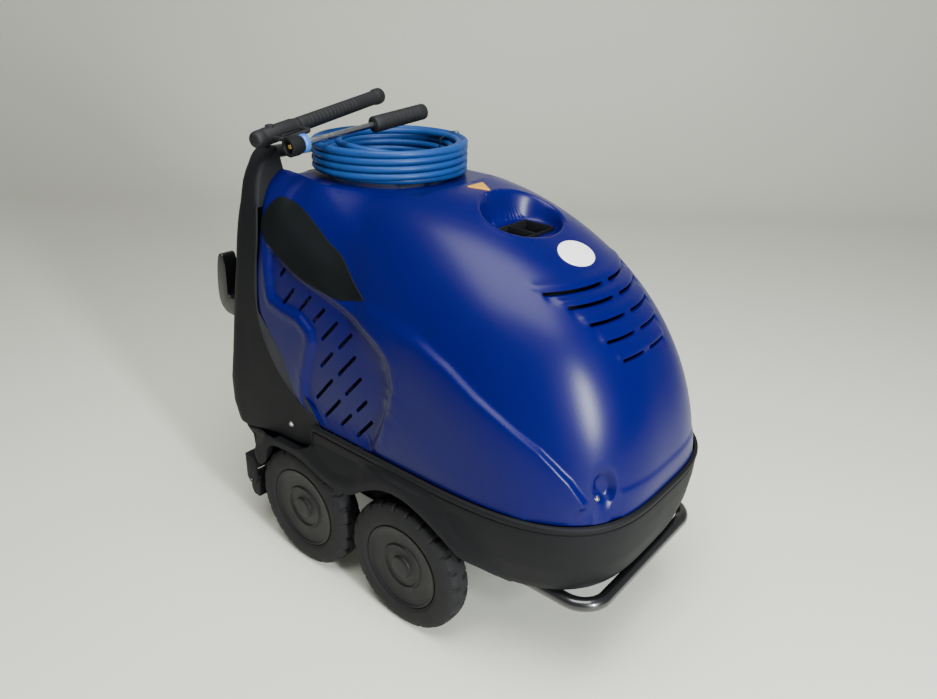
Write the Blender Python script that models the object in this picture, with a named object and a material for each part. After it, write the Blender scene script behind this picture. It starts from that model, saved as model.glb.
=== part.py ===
"""Wheeled commercial pressure washer: tub base, one-piece hood, rear housing, hose, gun and lance.

Metres, +Z up. The front is -Y, the operator stands at +Y. Sizes inside the script are measured from
the point midway between the four wheels; every object hangs on one empty that moves that point to
its place in the part's own frame, whose origin is under the middle of the overall box.
"""

import math

import bmesh
import bpy
from mathutils import Vector

GAP = 0.0003
ORIGIN_SHIFT_Y = 0.0574  # from the wheels' middle to the middle of the overall length

# Running gear
WHEEL_R = 0.150
TYRE_WIDTH = 0.064
WHEEL_FACE_X = 0.319
HALF_WHEELBASE = 0.158
WHEEL_SIDES = 28
RIM_R = 0.098
AXLE_R = 0.010
HUB_BORE_DEPTH = 0.048
BEAM_HALF_LENGTH = 0.235

# Tub base
BASE_BOTTOM = 0.219
BASE_WALL = 0.0055
BASE_FLANGE = 0.010  # how far the tub's rim stands out past the hood
FENDER_X = 0.328
FRONT_ARCH_R = 0.190
REAR_ARCH_R = 0.160
HOUSING_FRONT_Y = 0.095
HOUSING_BOTTOM_Z = 0.318

# Hood
RIM_Z = 0.394
HALF_WIDTH = 0.305
NOSE_Y = 0.582
TOP_REAR_Z = 0.920
TOP_FRONT_Z = 0.905
HOOD_WALL = 0.005
TRAY_FLOOR_Z = 0.891
TRAY_HALF_WIDTH = 0.198
TRAY_FRONT_Y = -0.058
CROWN_SAG = 0.012  # the crown between the flue and the louvres is a little flatter
CROWN_SAG_Y = -0.285
DISH_CENTRE_Y = -0.203
DISH_R = 0.100
DISH_DEPTH = 0.016
FLUE_HALF = (0.066, 0.036)
SEAM_SPARE = 0.012  # how far the hood is made past its rear seam before it is trimmed
STRAIGHT = 0.4  # share of the hood's side path that is the straight flank

# Rear housing
HOUSING_TOP_Z = 0.965
SHELF_Z = 0.845
POST_INNER_X = 0.190
CORNER_R = 0.050
HANDLE_R = 0.016
HANDLE_Y = 0.3553
HANDLE_Z = 0.930

# Hose, gun and lance
COIL_CENTRE_Y = 0.163
COIL_R = 0.172
COIL_BORE_R = 0.128
COIL_BOTTOM_Z = 0.8950
COIL_TOP_Z = 0.9685
GUN_START = Vector((-0.272, 0.283, 0.9745))
GUN_END = Vector((0.150, 0.341, 1.0265))
LANCE_START = Vector((-0.262, 0.187, 0.9735))
LANCE_END = Vector((0.104, 0.158, 1.0125))


# ---------------------------------------------------------------- outlines and the hood's surface

def between(table, at):
    """The value at `at` on the straight runs through (position, value) pairs in rising order."""
    if at <= table[0][0]:
        return table[0][1]
    for (a, va), (b, vb) in zip(table, table[1:]):
        if at <= b:
            share = (at - a) / (b - a)
            return va + (vb - va) * share
    return table[-1][1]


SEAM = [  # height and y of the line where the hood meets the rear housing
    (0.400, 0.095), (0.418, 0.135), (0.446, 0.181), (0.480, 0.220), (0.512, 0.244),
    (0.550, 0.264), (0.588, 0.277), (0.635, 0.283), (0.700, 0.280), (0.770, 0.271),
    (0.845, 0.278), (0.905, 0.296)]


def seam_y(z):
    """Where the hood meets the rear housing at height z."""
    return between(SEAM, z)


def rear_y(z):
    """The housing's rear face at height z."""
    return between([(0.318, 0.432), (0.340, 0.440), (0.400, 0.440), (0.475, 0.423),
                    (0.600, 0.398), (0.700, 0.378), (SHELF_Z, 0.364), (0.890, 0.372)], z)


def falloff(share, power):
    """A superellipse's other axis, both from 0 to 1."""
    return max(0.0, 1.0 - min(share, 1.0) ** power) ** (1.0 / power)


def smooth(share):
    share = min(1.0, max(0.0, share))
    return share * share * (3.0 - 2.0 * share)


def hood_top(path):
    """The height of the hood's ridge for the meridian at `path`."""
    return TOP_FRONT_Z + (TOP_REAR_Z - TOP_FRONT_Z) * smooth(1.3 - 1.3 * path)


def hood_point(path, level, inset):
    """A point of the hood's flank: path 0 at the rear seam to 1 at the nose, level 0 rim to 1 ridge."""
    to_rear = smooth(1.0 - path / STRAIGHT)
    side_power = 2.75 + 2.25 * to_rear
    z = RIM_Z + (hood_top(path) - inset - RIM_Z) * level
    half_width = (HALF_WIDTH - inset) * falloff(level, side_power)
    nose = -(NOSE_Y - inset) * falloff(level, 2.1)
    bend_y = -0.15 + 0.21 * level
    rear = seam_y(z) + SEAM_SPARE
    if path < STRAIGHT:
        y = rear + (bend_y - rear) * path / STRAIGHT
        half_width *= 1.0 - 0.02 * ((y - bend_y) / 0.44) ** 2
        return Vector((half_width, y, z))
    angle = (path - STRAIGHT) / (1.0 - STRAIGHT) * math.pi / 2.0
    plan_power = 3.3 - 1.1 * level ** 0.5
    y = bend_y - (bend_y - nose) * math.sin(angle) ** (2.0 / plan_power)
    x = half_width * max(0.0, math.cos(angle)) ** (2.0 / plan_power)
    return Vector((x, y, z))


def tray_share(x, y):
    """1 inside the hose tray on the hood's top, 0 outside it."""
    middle_y = 0.13
    reach = middle_y - TRAY_FRONT_Y
    ahead = max(0.0, middle_y - y) / reach
    size = ((x / TRAY_HALF_WIDTH) ** 4 + ahead ** 4) ** 0.25
    return smooth((1.0 - size) / 0.07)


def sink(point, inset):
    """The hood's point with the hose tray and the flue's dish pressed in."""
    x, y, z = point
    floor = TRAY_FLOOR_Z - inset
    share = tray_share(x, y)
    if share > 0.0 and z > floor:
        z = z - (z - floor) * share
    z -= CROWN_SAG * smooth(1.0 - abs(y - CROWN_SAG_Y) / 0.17) * smooth(1.0 - x / 0.20)
    away = math.hypot(x, y - DISH_CENTRE_Y) / DISH_R
    if z > 0.7 and away < 1.0:
        z -= DISH_DEPTH * smooth((1.0 - away) / 0.35)
    return Vector((x, y, z))


def flank_x(y, z):
    """The hood's half width at (y, z), where its side can be read straight from the outline."""
    low, high = 0.0, 1.0
    for _ in range(30):
        middle = (low + high) / 2.0
        level = (z - RIM_Z) / (hood_top(middle) - RIM_Z)
        if hood_point(middle, level, 0.0).y > y:
            low = middle
        else:
            high = middle
    return hood_point(low, (z - RIM_Z) / (hood_top(low) - RIM_Z), 0.0).x


def housing_x(z):
    """The housing's half width at height z."""
    level = max(0.0, (z - RIM_Z) / (HOUSING_TOP_Z - RIM_Z))
    return 0.300 * falloff(level, 5.0)


# ---------------------------------------------------------------- modelling helpers

def material(name, colour, roughness, metallic=0.0):
    made = bpy.data.materials.new(name)
    made.use_nodes = True
    shader = made.node_tree.nodes["Principled BSDF"]
    shader.inputs["Base Color"].default_value = (*colour, 1.0)
    shader.inputs["Roughness"].default_value = roughness
    shader.inputs["Metallic"].default_value = metallic
    made.diffuse_color = (*colour, 1.0)
    return made


def place(name, mesh, finish, parent):
    thing = bpy.data.objects.new(name, mesh)
    if finish:
        mesh.materials.append(finish)
    bpy.context.scene.collection.objects.link(thing)
    thing.parent = parent
    return thing


def finish_mesh(bm, name, smooth_angle=35.0):
    bmesh.ops.remove_doubles(bm, verts=bm.verts, dist=0.00002)
    bmesh.ops.recalc_face_normals(bm, faces=bm.faces)
    mesh = bpy.data.meshes.new(name)
    bm.to_mesh(mesh)
    bm.free()
    mesh.shade_smooth()
    mesh.set_sharp_from_angle(angle=math.radians(smooth_angle))
    return mesh


def loft(name, rings, finish, parent, smooth_angle=35.0):
    """A closed solid through closed rings of equal length, its two end rings filled."""
    bm = bmesh.new()
    rows = [[bm.verts.new(p) for p in ring] for ring in rings]
    for low, high in zip(rows, rows[1:]):
        for i in range(len(low)):
            j = (i + 1) % len(low)
            bm.faces.new((low[i], low[j], high[j], high[i]))
    bm.faces.new(rows[0][::-1])
    bm.faces.new(rows[-1])
    return place(name, finish_mesh(bm, name, smooth_angle), finish, parent)


def prism(name, outline, axis, low, high, finish, parent):
    """An outline in the plane square to `axis` ('X', 'Y' or 'Z'), given a thickness along it."""
    def at(along, u, v):
        return {"X": (along, u, v), "Y": (u, along, v), "Z": (u, v, along)}[axis]
    rings = [[at(low, u, v) for u, v in outline], [at(high, u, v) for u, v in outline]]
    return loft(name, rings, finish, parent)


def box(name, low, high, finish, parent, bevel=0.0):
    outline = [(low[0], low[1]), (high[0], low[1]), (high[0], high[1]), (low[0], high[1])]
    made = prism(name, outline, "Z", low[2], high[2], finish, parent)
    if bevel:
        edge = made.modifiers.new("edges", "BEVEL")
        edge.width = bevel
        edge.segments = 2
    return made


def frame_of(direction):
    """Two unit vectors square to a direction."""
    direction = direction.normalized()
    helper = Vector((0, 0, 1)) if abs(direction.z) < 0.9 else Vector((1, 0, 0))
    first = direction.cross(helper).normalized()
    return first, direction.cross(first).normalized()


def turned(name, start, direction, profile, finish, parent, sides=24, closed=False):
    """A solid of revolution: (distance along, radius) pairs about the line from start."""
    direction = Vector(direction).normalized()
    u, v = frame_of(direction)
    rings = []
    for along, radius in profile:
        centre = Vector(start) + direction * along
        rings.append([centre + (u * math.cos(a) + v * math.sin(a)) * radius
                      for a in (2 * math.pi * i / sides for i in range(sides))])
    if not closed:
        return loft(name, rings, finish, parent)
    bm = bmesh.new()
    rows = [[bm.verts.new(p) for p in ring] for ring in rings]
    for low, high in zip(rows, rows[1:] + rows[:1]):
        for i in range(sides):
            j = (i + 1) % sides
            bm.faces.new((low[i], low[j], high[j], high[i]))
    return place(name, finish_mesh(bm, name), finish, parent)


def rod(name, start, end, radius, finish, parent, sides=20):
    length = (Vector(end) - Vector(start)).length
    edge = min(radius * 0.15, 0.002)
    profile = [(0, radius - edge), (edge, radius), (length - edge, radius), (length, radius - edge)]
    return turned(name, start, Vector(end) - Vector(start), profile, finish, parent, sides)


def tube_path(name, corners, bend_r, radius, finish, parent, sides=12):
    """A round tube along straight runs whose corners are arcs of bend_r."""
    line = [Vector(corners[0])]
    for before, here, after in zip(corners, corners[1:], corners[2:]):
        before, here, after = Vector(before), Vector(here), Vector(after)
        back, on = (before - here).normalized(), (after - here).normalized()
        half = back.angle(on) / 2.0
        cut = bend_r / math.tan(half)
        centre = here + (back + on).normalized() * (bend_r / math.sin(half))
        first, last = here + back * cut, here + on * cut
        sweep = math.pi - 2.0 * half
        normal = (first - centre).cross(last - centre).normalized()
        steps = max(4, round(sweep / math.radians(15)))
        arm = first - centre
        for i in range(steps + 1):
            turn = sweep * i / steps
            line.append(centre + arm * math.cos(turn) + normal.cross(arm) * math.sin(turn))
    line.append(Vector(corners[-1]))
    return tube(name, line, radius, finish, parent, sides)


def tube(name, line, radius, finish, parent, sides=12):
    """A round tube with filled ends through the points of a line."""
    rings = []
    side = frame_of(line[1] - line[0])[0]
    for i, here in enumerate(line):
        ahead = (line[min(i + 1, len(line) - 1)] - line[max(i - 1, 0)]).normalized()
        side = (side - ahead * side.dot(ahead)).normalized()
        other = ahead.cross(side)
        rings.append([here + (side * math.cos(a) + other * math.sin(a)) * radius
                      for a in (2 * math.pi * k / sides for k in range(sides))])
    return loft(name, rings, finish, parent)


def combine(target, other, operation):
    """Adds a cutter (or a shape to join) to an object as an exact Boolean."""
    change = target.modifiers.new(other.name, "BOOLEAN")
    change.operation = operation
    change.object = other
    change.solver = "EXACT"
    other.hide_render = True
    other.display_type = "WIRE"


def mirrored(side):
    return "left" if side < 0 else "right"


# ---------------------------------------------------------------- running gear

def make_wheels(root, finishes):
    inner = WHEEL_FACE_X - TYRE_WIDTH
    tread = [(0.000, RIM_R + 0.012), (0.004, 0.138), (0.014, WHEEL_R - 0.002), (0.022, WHEEL_R),
             (0.042, WHEEL_R), (0.050, WHEEL_R - 0.002), (0.060, 0.138), (0.064, RIM_R + 0.012),
             (0.058, RIM_R), (0.006, RIM_R)]
    hub = [(HUB_BORE_DEPTH, AXLE_R + GAP), (0.002, AXLE_R + GAP), (0.002, 0.026), (0.014, 0.034),
           (0.014, 0.088), (0.008, RIM_R - GAP), (0.056, RIM_R - GAP), (0.052, 0.086),
           (0.052, 0.034), (0.0605, 0.024)]
    for side in (-1, 1):
        for row, y in (("front", -HALF_WHEELBASE), ("rear", HALF_WHEELBASE)):
            label = f"{row}_{mirrored(side)}"
            start = (side * inner, y, WHEEL_R)
            turned(f"tyre_{label}", start, (side, 0, 0), tread, finishes["tyre"], root, WHEEL_SIDES,
                   True)
            turned(f"hub_{label}", start, (side, 0, 0), hub, finishes["hub"], root, WHEEL_SIDES)


def make_chassis(root, finishes):
    rail_x, rail_z, rail_r = 0.215, 0.2035, 0.0145
    front_y, rear_end = -0.5625, 0.300
    corners = [(-rail_x, rear_end, rail_z), (-rail_x, front_y, rail_z),
               (rail_x, front_y, rail_z), (rail_x, rear_end, rail_z)]
    frame = tube_path("bumper_frame", corners, 0.056, rail_r, finishes["gloss_black"], root, 14)
    for row, y in (("front", -HALF_WHEELBASE), ("rear", HALF_WHEELBASE)):
        axle_end = WHEEL_FACE_X - TYRE_WIDTH + HUB_BORE_DEPTH - 0.0005
        rod(f"axle_{row}", (-axle_end, y, WHEEL_R), (axle_end, y, WHEEL_R), AXLE_R,
            finishes["steel"], root, 16)
        beam = box(f"axle_beam_{row}", (-BEAM_HALF_LENGTH, y - 0.02, WHEEL_R + AXLE_R + GAP),
                   (BEAM_HALF_LENGTH, y + 0.02, rail_z - rail_r + 0.004), None, root)
        combine(frame, beam, "UNION")


def make_brake(root, finishes):
    """The parking brake behind the near rear wheel: a bracket, a pin across its cheeks, a foot lever."""
    x_out, x_in, y_front, y_back = -0.320, -0.262, 0.324, 0.362
    pivot_y, pivot_z, cheek = 0.343, 0.150, 0.007
    bracket_r, lever_r, pin_r = 0.0041, 0.0042, 0.0038

    def pin_hole(name, radius):
        return turned(name, (x_out - 0.01, pivot_y, pivot_z), (1, 0, 0),
                      [(0, radius), (x_in - x_out + 0.02, radius)], None, root, 16)

    plate = [(y_front, 0.2185), (y_front, pivot_z + 0.002), (y_front + 0.010, pivot_z - 0.012),
             (y_back - 0.010, pivot_z - 0.012), (y_back, pivot_z + 0.002), (y_back, 0.2185)]
    bracket = prism("brake_bracket", plate, "X", x_out, x_in, finishes["black"], root)
    slot = box("brake_slot", (x_out + cheek, y_front - 0.01, pivot_z - 0.02),
               (x_in - cheek, y_back + 0.01, 0.186), None, root)
    combine(bracket, slot, "DIFFERENCE")
    combine(bracket, pin_hole("brake_bracket_bore", bracket_r), "DIFFERENCE")
    lever = [(y_front, pivot_z + 0.0120), (y_front + 0.004, 0.100), (y_back - 0.012, 0.100),
             (y_back - 0.004, 0.112), (y_back - 0.002, pivot_z), (y_back - 0.008, pivot_z + 0.0120)]
    foot = prism("brake_lever", lever, "X", x_out + cheek + 0.0005, x_in - cheek - 0.0005,
                 finishes["black"], root)
    combine(foot, pin_hole("brake_lever_bore", lever_r), "DIFFERENCE")
    rod("brake_pin", (x_out - 0.003, pivot_y, pivot_z), (x_in + 0.003, pivot_y, pivot_z), pin_r,
        finishes["steel"], root, 16)


# ---------------------------------------------------------------- tub base

def base_ring(z, out, rear):
    """A closed plan ring of the tub: the hood's rim outline grown by `out`, square at the rear."""
    ring = []
    steps = 22
    for i in range(steps + 1):
        angle = math.pi / 2.0 * i / steps
        x = (HALF_WIDTH + out) * math.cos(angle) ** (2 / 3.3) if i < steps else 0.0
        y = -0.15 - (NOSE_Y + out - 0.15) * math.sin(angle) ** (2 / 3.3)
        ring.append(Vector((x, y, z)))
    ring = ring + [Vector((-p.x, p.y, z)) for p in ring[-2::-1]]
    side = HALF_WIDTH + out
    corner = []
    for i in range(6):
        angle = math.pi / 2.0 * i / 5
        corner.append((side - CORNER_R + CORNER_R * math.cos(angle),
                       rear - CORNER_R + CORNER_R * math.sin(angle)))
    ring += [Vector((-x, y, z)) for x, y in corner] + [Vector((x, y, z)) for x, y in corner[::-1]]
    return ring


def make_base(root, finishes):
    levels = [(BASE_BOTTOM, -0.030, 0.345), (BASE_BOTTOM + 0.006, -0.020, 0.352),
              (0.245, -0.010, 0.368), (0.290, 0.001, 0.400), (0.340, 0.008, 0.424),
              (0.374, BASE_FLANGE, 0.432), (0.3775, BASE_FLANGE - 0.004, 0.432),
              (0.381, BASE_FLANGE, 0.432), (RIM_Z - GAP, BASE_FLANGE, 0.432)]
    base = loft("base_shell", [base_ring(*level) for level in levels], finishes["black"], root)
    for side in (-1, 1):
        flare = prism(f"flare_{side}", [(0.330, 0.300), (0.330, 0.318), (0.094, 0.356),
                      (0.0, 0.362), (-0.200, 0.362), (-0.330, 0.318), (-0.372, 0.255),
                      (-0.330, 0.245), (0.310, 0.245)], "X", 0.28 * side, FENDER_X * side, None, root)
        combine(base, flare, "UNION")
    for side in (-1, 1):
        inner, outer = side * 0.240, side * 0.36
        for label, y, radius in (("front", -HALF_WHEELBASE, FRONT_ARCH_R),
                                 ("rear", HALF_WHEELBASE, REAR_ARCH_R)):
            arch = turned(f"arch_{label}_{side}", (inner, y, WHEEL_R), (side, 0, 0),
                          [(0, radius), (abs(outer - inner), radius)], None, root, 48)
            combine(base, arch, "DIFFERENCE")
        low, high = sorted((inner, outer))
        middle = box(f"arch_middle_{side}", (low, -0.10, 0.15), (high, 0.10, 0.270), None, root)
        combine(base, middle, "DIFFERENCE")
    step = box("base_rear_step", (-0.5, HOUSING_FRONT_Y - GAP, HOUSING_BOTTOM_Z - GAP),
               (0.5, 0.6, 0.6), None, root)
    combine(base, step, "DIFFERENCE")
    wall_levels = [(0.349, -0.006, HOUSING_FRONT_Y - 0.006), (0.45, -0.006, HOUSING_FRONT_Y - 0.006)]
    upper = loft("base_upper_cavity", [base_ring(*level) for level in wall_levels], None, root)
    combine(base, upper, "DIFFERENCE")
    lower_plan = [(-0.205, -0.02), (-0.190, -0.36), (-0.150, -0.485), (-0.07, -0.515),
                  (0.07, -0.515), (0.150, -0.485), (0.190, -0.36), (0.205, -0.02),
                  (0.205, 0.325), (-0.205, 0.325)]
    lower = prism("base_lower_cavity", lower_plan, "Z", BASE_BOTTOM + BASE_WALL, 0.5, None, root)
    combine(base, lower, "DIFFERENCE")


# ---------------------------------------------------------------- hood

LOUVRE_HALF = 0.0035
SLOT_HALF = 0.004
SLOT_LEAN = (-0.66, 0.75)  # (y, z) direction of the slots in the flank's vent
LOUVRES = [  # height of each row on the centre line, and how far its slots reach sideways
    (0.771, 0.142), (0.750, 0.122), (0.723, 0.106), (0.694, 0.093), (0.661, 0.078)]
SIDE_SLOTS = [  # (y, z) middle and length of each slot in the flank's vent
    (0.202, 0.716, 0.028), (0.183, 0.668, 0.057), (0.133, 0.664, 0.056), (0.091, 0.649, 0.052),
    (0.060, 0.623, 0.068), (0.014, 0.614, 0.056), (0.068, 0.557, 0.060), (0.008, 0.562, 0.078),
    (0.079, 0.485, 0.088), (-0.011, 0.522, 0.074), (0.054, 0.448, 0.078), (-0.036, 0.486, 0.048),
    (0.012, 0.436, 0.052), (-0.044, 0.436, 0.070)]
INSERT_OUTLINE = [  # (y, z) of the dark leaf in the flank's vent
    (0.232, 0.868), (0.200, 0.880), (0.150, 0.872), (0.094, 0.850), (0.038, 0.818),
    (-0.015, 0.771), (-0.048, 0.722), (0.003, 0.709), (0.076, 0.717), (0.151, 0.739),
    (0.212, 0.771), (0.240, 0.805), (0.246, 0.838)]


def make_hood(root, finishes):
    around, up = 19, 11
    bm = bmesh.new()
    skins = []
    for inset in (0.0, HOOD_WALL):
        rows = []
        for k in range(up + 1):
            level = math.sin(math.pi / 2.0 * k / up) ** 0.85
            half = [sink(hood_point(i / around, level, inset), inset) for i in range(around + 1)]
            if k == up:
                half = [Vector((0.0, p.y, p.z)) for p in half]
                row = [bm.verts.new(p) for p in half]
                rows.append(row + row[-2::-1])
                continue
            right = [bm.verts.new(p) for p in half]
            left = [bm.verts.new((-p.x, p.y, p.z)) for p in half[-2::-1]]
            rows.append(right + left)
        skins.append(rows)
    outer, inner = skins
    last = len(outer[0]) - 1
    for rows in skins:
        for low, high in zip(rows, rows[1:]):
            for i in range(last):
                corners = [low[i], low[i + 1], high[i + 1], high[i]]
                bm.faces.new(corners)
    for i in range(last):
        bm.faces.new((outer[0][i], outer[0][i + 1], inner[0][i + 1], inner[0][i]))
    for low_out, high_out, low_in, high_in in zip(outer, outer[1:], inner, inner[1:]):
        for i in (0, last):
            bm.faces.new((low_out[i], high_out[i], high_in[i], low_in[i]))
    hood = place("hood", finish_mesh(bm, "hood", 30.0), finishes["blue"], root)
    behind = [(y - GAP, z) for z, y in SEAM]
    behind = [(behind[0][0], 0.30)] + behind + [(behind[-1][0], 1.1), (0.6, 1.1), (0.6, 0.30)]
    trim = prism("hood_seam_cut", behind, "X", -0.5, 0.5, None, root)
    combine(hood, trim, "DIFFERENCE")
    combine(hood, hood_openings(root), "DIFFERENCE")


def hood_openings(root):
    """One cutter with a separate block for the flue and for each louvre and vent slot."""
    bm = bmesh.new()

    def block(low_x, high_x, outline):
        rows = [[bm.verts.new((x, y, z)) for y, z in outline] for x in sorted((low_x, high_x))]
        count = len(outline)
        for i in range(count):
            j = (i + 1) % count
            bm.faces.new((rows[0][i], rows[0][j], rows[1][j], rows[1][i]))
        bm.faces.new(rows[0][::-1])
        bm.faces.new(rows[1])

    def upright(y_low, y_high, z_low, z_high):
        return [(y_low, z_low), (y_high, z_low), (y_high, z_high), (y_low, z_high)]

    block(-FLUE_HALF[0], FLUE_HALF[0], upright(DISH_CENTRE_Y - FLUE_HALF[1],
                                               DISH_CENTRE_Y + FLUE_HALF[1], 0.75, 0.95))
    for side in (-1, 1):
        for z, reach in LOUVRES:
            block(0.0105 * side, reach * side, upright(-0.62, -0.26, z - LOUVRE_HALF,
                                                       z + LOUVRE_HALF))
        for y, z, length in SIDE_SLOTS:
            along_y, along_z = SLOT_LEAN[0] * length / 2, SLOT_LEAN[1] * length / 2
            wide_y, wide_z = SLOT_LEAN[1] * SLOT_HALF, -SLOT_LEAN[0] * SLOT_HALF
            outline = [(y - along_y - wide_y, z - along_z - wide_z),
                       (y - along_y + wide_y, z - along_z + wide_z),
                       (y + along_y + wide_y, z + along_z + wide_z),
                       (y + along_y - wide_y, z + along_z - wide_z)]
            block(0.20 * side, 0.36 * side, outline)
    return place("hood_openings", finish_mesh(bm, "hood_openings"), None, root)


def surface_patch(name, outline, offset, thickness, side, finish, root):
    """A thin plate lying over the hood's flank, its outline given as (y, z) points."""
    middle_y = sum(y for y, _ in outline) / len(outline)
    middle_z = sum(z for _, z in outline) / len(outline)
    bm = bmesh.new()
    skins = []
    for out in (offset, offset + thickness):
        centre = bm.verts.new((side * (flank_x(middle_y, middle_z) + out), middle_y, middle_z))
        rings = []
        for share in (0.4, 0.7, 1.0):
            ring = []
            for y, z in outline:
                py = middle_y + (y - middle_y) * share
                pz = middle_z + (z - middle_z) * share
                ring.append(bm.verts.new((side * (flank_x(py, pz) + out), py, pz)))
            rings.append(ring)
        skins.append((centre, rings))
    count = len(outline)
    for centre, rings in skins:
        for i in range(count):
            j = (i + 1) % count
            bm.faces.new((centre, rings[0][i], rings[0][j]))
            for small, big in zip(rings, rings[1:]):
                bm.faces.new((small[i], big[i], big[j], small[j]))
    under, over = skins[0][1][-1], skins[1][1][-1]
    for i in range(count):
        j = (i + 1) % count
        bm.faces.new((under[i], under[j], over[j], over[i]))
    return place(name, finish_mesh(bm, name), finish, root)


def top_plate(name, outline, y, finish, root):
    """A thin plate lying on the hood's centre line at y: outline in (sideways, forwards)."""
    def height(at):
        low, high = 0.0, 1.0
        for _ in range(30):
            middle = (low + high) / 2.0
            if -hood_point(1.0, middle, 0.0).y > -at:
                low = middle
            else:
                high = middle
        return sink(hood_point(1.0, low, 0.0), 0.0).z
    here, ahead = Vector((0, y, height(y))), Vector((0, y - 0.02, height(y - 0.02)))
    forward = (ahead - here).normalized()
    normal = Vector((1, 0, 0)).cross(forward).normalized()
    if normal.z < 0:
        normal = -normal
    centre = here + normal * 0.0020
    rings = []
    for up in (0.0, 0.0012):
        rings.append([centre + Vector((u, 0, 0)) + forward * v + normal * up for u, v in outline])
    return loft(name, rings, finish, root)


def make_hood_trim(root, finishes):
    for side in (-1, 1):
        surface_patch(f"side_insert_{mirrored(side)}", INSERT_OUTLINE, 0.0028, 0.0020, side,
                      finishes["black"], root)
        screw = Vector((side * 0.181, -0.5515, 0.4265))
        head = [(0.0, 0.0055), (0.0035, 0.0055), (0.0050, 0.0035)]
        turned(f"hood_screw_{mirrored(side)}", screw, (side * 0.45, -0.87, 0.2), head,
               finishes["steel"], root, 12)
        lobe = Vector((side * 0.3065, 0.187, 0.362))
        turned(f"housing_screw_{mirrored(side)}", lobe, (side, 0, 0), head, finishes["steel"],
               root, 12)
    oval = [(0.047 * math.cos(a), 0.032 * math.sin(a))
            for a in (2 * math.pi * i / 20 for i in range(20))]
    top_plate("blank_badge", oval, -0.334, finishes["white"], root)
    triangle = [(-0.027, 0.014), (0.027, 0.014), (0.0, -0.033)]
    top_plate("blank_yellow_label", triangle, -0.097, finishes["yellow"], root)


def make_flue_grille(root, finishes):
    half_x, half_y = FLUE_HALF[0] - 0.0006, FLUE_HALF[1] - 0.0006
    low, high = 0.801, 0.810
    grille = box("flue_grille", (-half_x, DISH_CENTRE_Y - half_y, low),
                 (half_x, DISH_CENTRE_Y + half_y, high), finishes["black"], root)
    bar, count = 0.004, 4
    pitch = (2 * half_y - bar) / count
    for row in range(count):
        for side in (-1, 1):
            near, far = sorted((side * 0.003, side * (half_x - bar)))
            y = DISH_CENTRE_Y - half_y + bar + row * pitch
            hole = box(f"grille_hole_{row}_{side}", (near, y, low - 0.01),
                       (far, y + pitch - bar, high + 0.01), None, root)
            combine(grille, hole, "DIFFERENCE")


# ---------------------------------------------------------------- rear housing and handle

def housing_ring(z, inset, front):
    half = housing_x(z) - inset
    rear = rear_y(z) - inset
    corner_r = CORNER_R - inset
    ring = [Vector((half, front, z))]
    for i in range(7):
        angle = math.pi / 2.0 * i / 6
        ring.append(Vector((half - corner_r + corner_r * math.cos(angle),
                            rear - corner_r + corner_r * math.sin(angle), z)))
    return ring + [Vector((-p.x, p.y, z)) for p in ring[::-1]]


def make_housing(root, finishes):
    wall = 0.005
    levels = [HOUSING_BOTTOM_Z, 0.340, 0.400, 0.418, 0.446, 0.480, 0.512, 0.550, 0.588, 0.635,
              0.700, 0.770, SHELF_Z]
    rings = [housing_ring(z, 0.0, seam_y(z) + GAP) for z in levels]
    housing = loft("rear_housing", rings, finishes["black"], root)
    inner_levels = [HOUSING_BOTTOM_Z - 0.02] + levels[1:-1] + [SHELF_Z - wall]
    hollow = loft("housing_hollow", [housing_ring(z, wall, 0.02) for z in inner_levels], None, root)
    combine(housing, hollow, "DIFFERENCE")
    slope = prism("housing_slope", [(0.2905, SHELF_Z - 0.004), (0.3000, 0.8820), (0.3600, SHELF_Z + 0.002),
                                    (0.3600, SHELF_Z - 0.004)], "X", -POST_INNER_X - 0.02,
                  POST_INNER_X + 0.02, None, root)
    combine(housing, slope, "UNION")
    for side in (-1, 1):
        post = []
        for z, shrink in ((SHELF_Z - 0.004, 0.0), (0.870, 0.0), (0.890, 0.0), (0.905, 0.0),
                          (0.932, 0.002), (0.944, 0.006), (0.951, 0.013)):
            out = housing_x(z)
            front, rear = seam_y(z) + GAP + shrink, rear_y(z) - shrink
            inner = POST_INNER_X + GAP + shrink * 0.5
            out = max(out - shrink * 0.3, inner + 0.012)
            r = 0.014
            ring = []
            for cx, cy, first in ((out - r, rear - r, 0), (inner + 0.004, rear - 0.004, 1),
                                  (inner + 0.004, front + 0.004, 2), (out - 0.004, front + 0.004, 3)):
                radius = r if first == 0 else 0.004
                if out - r < inner:
                    radius, cx = 0.005, (out - 0.005 if first == 0 else cx)
                for i in range(4):
                    angle = math.pi / 2.0 * (first + i / 3)
                    ring.append(Vector((side * (cx + radius * math.cos(angle)),
                                        cy + radius * math.sin(angle), z)))
            post.append(ring)
        shape = loft(f"post_{side}", post, None, root)
        combine(housing, shape, "UNION")
    rod("push_handle", (-POST_INNER_X, HANDLE_Y, HANDLE_Z), (POST_INNER_X, HANDLE_Y, HANDLE_Z),
        HANDLE_R, finishes["gloss_black"], root)
    for side in (-1, 1):
        x = side * 0.252
        hook = [(0.0, 0.560), (0.0, 0.595), (0.026, 0.592), (0.034, 0.606), (0.032, 0.680),
                (0.040, 0.698), (0.054, 0.694), (0.066, 0.650), (0.070, 0.600), (0.062, 0.566),
                (0.040, 0.552)]
        back = [(rear_y(0.560) + 0.0006 + y, z) for y, z in hook]
        prism(f"cable_hook_{mirrored(side)}", back, "X", x - 0.018, x + 0.018,
              finishes["gloss_black"], root)


def on_panel(u, height, out):
    """A point on the housing's flat upper rear: sideways u, at a height, `out` off the face."""
    low, high = 0.700, SHELF_Z
    slope = Vector((0, rear_y(high) - rear_y(low), high - low)).normalized()
    normal = Vector((0, slope.z, -slope.y))
    y = rear_y(low) + (rear_y(high) - rear_y(low)) * (height - low) / (high - low)
    return Vector((u, y, height)) + normal * out, normal, slope


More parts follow.
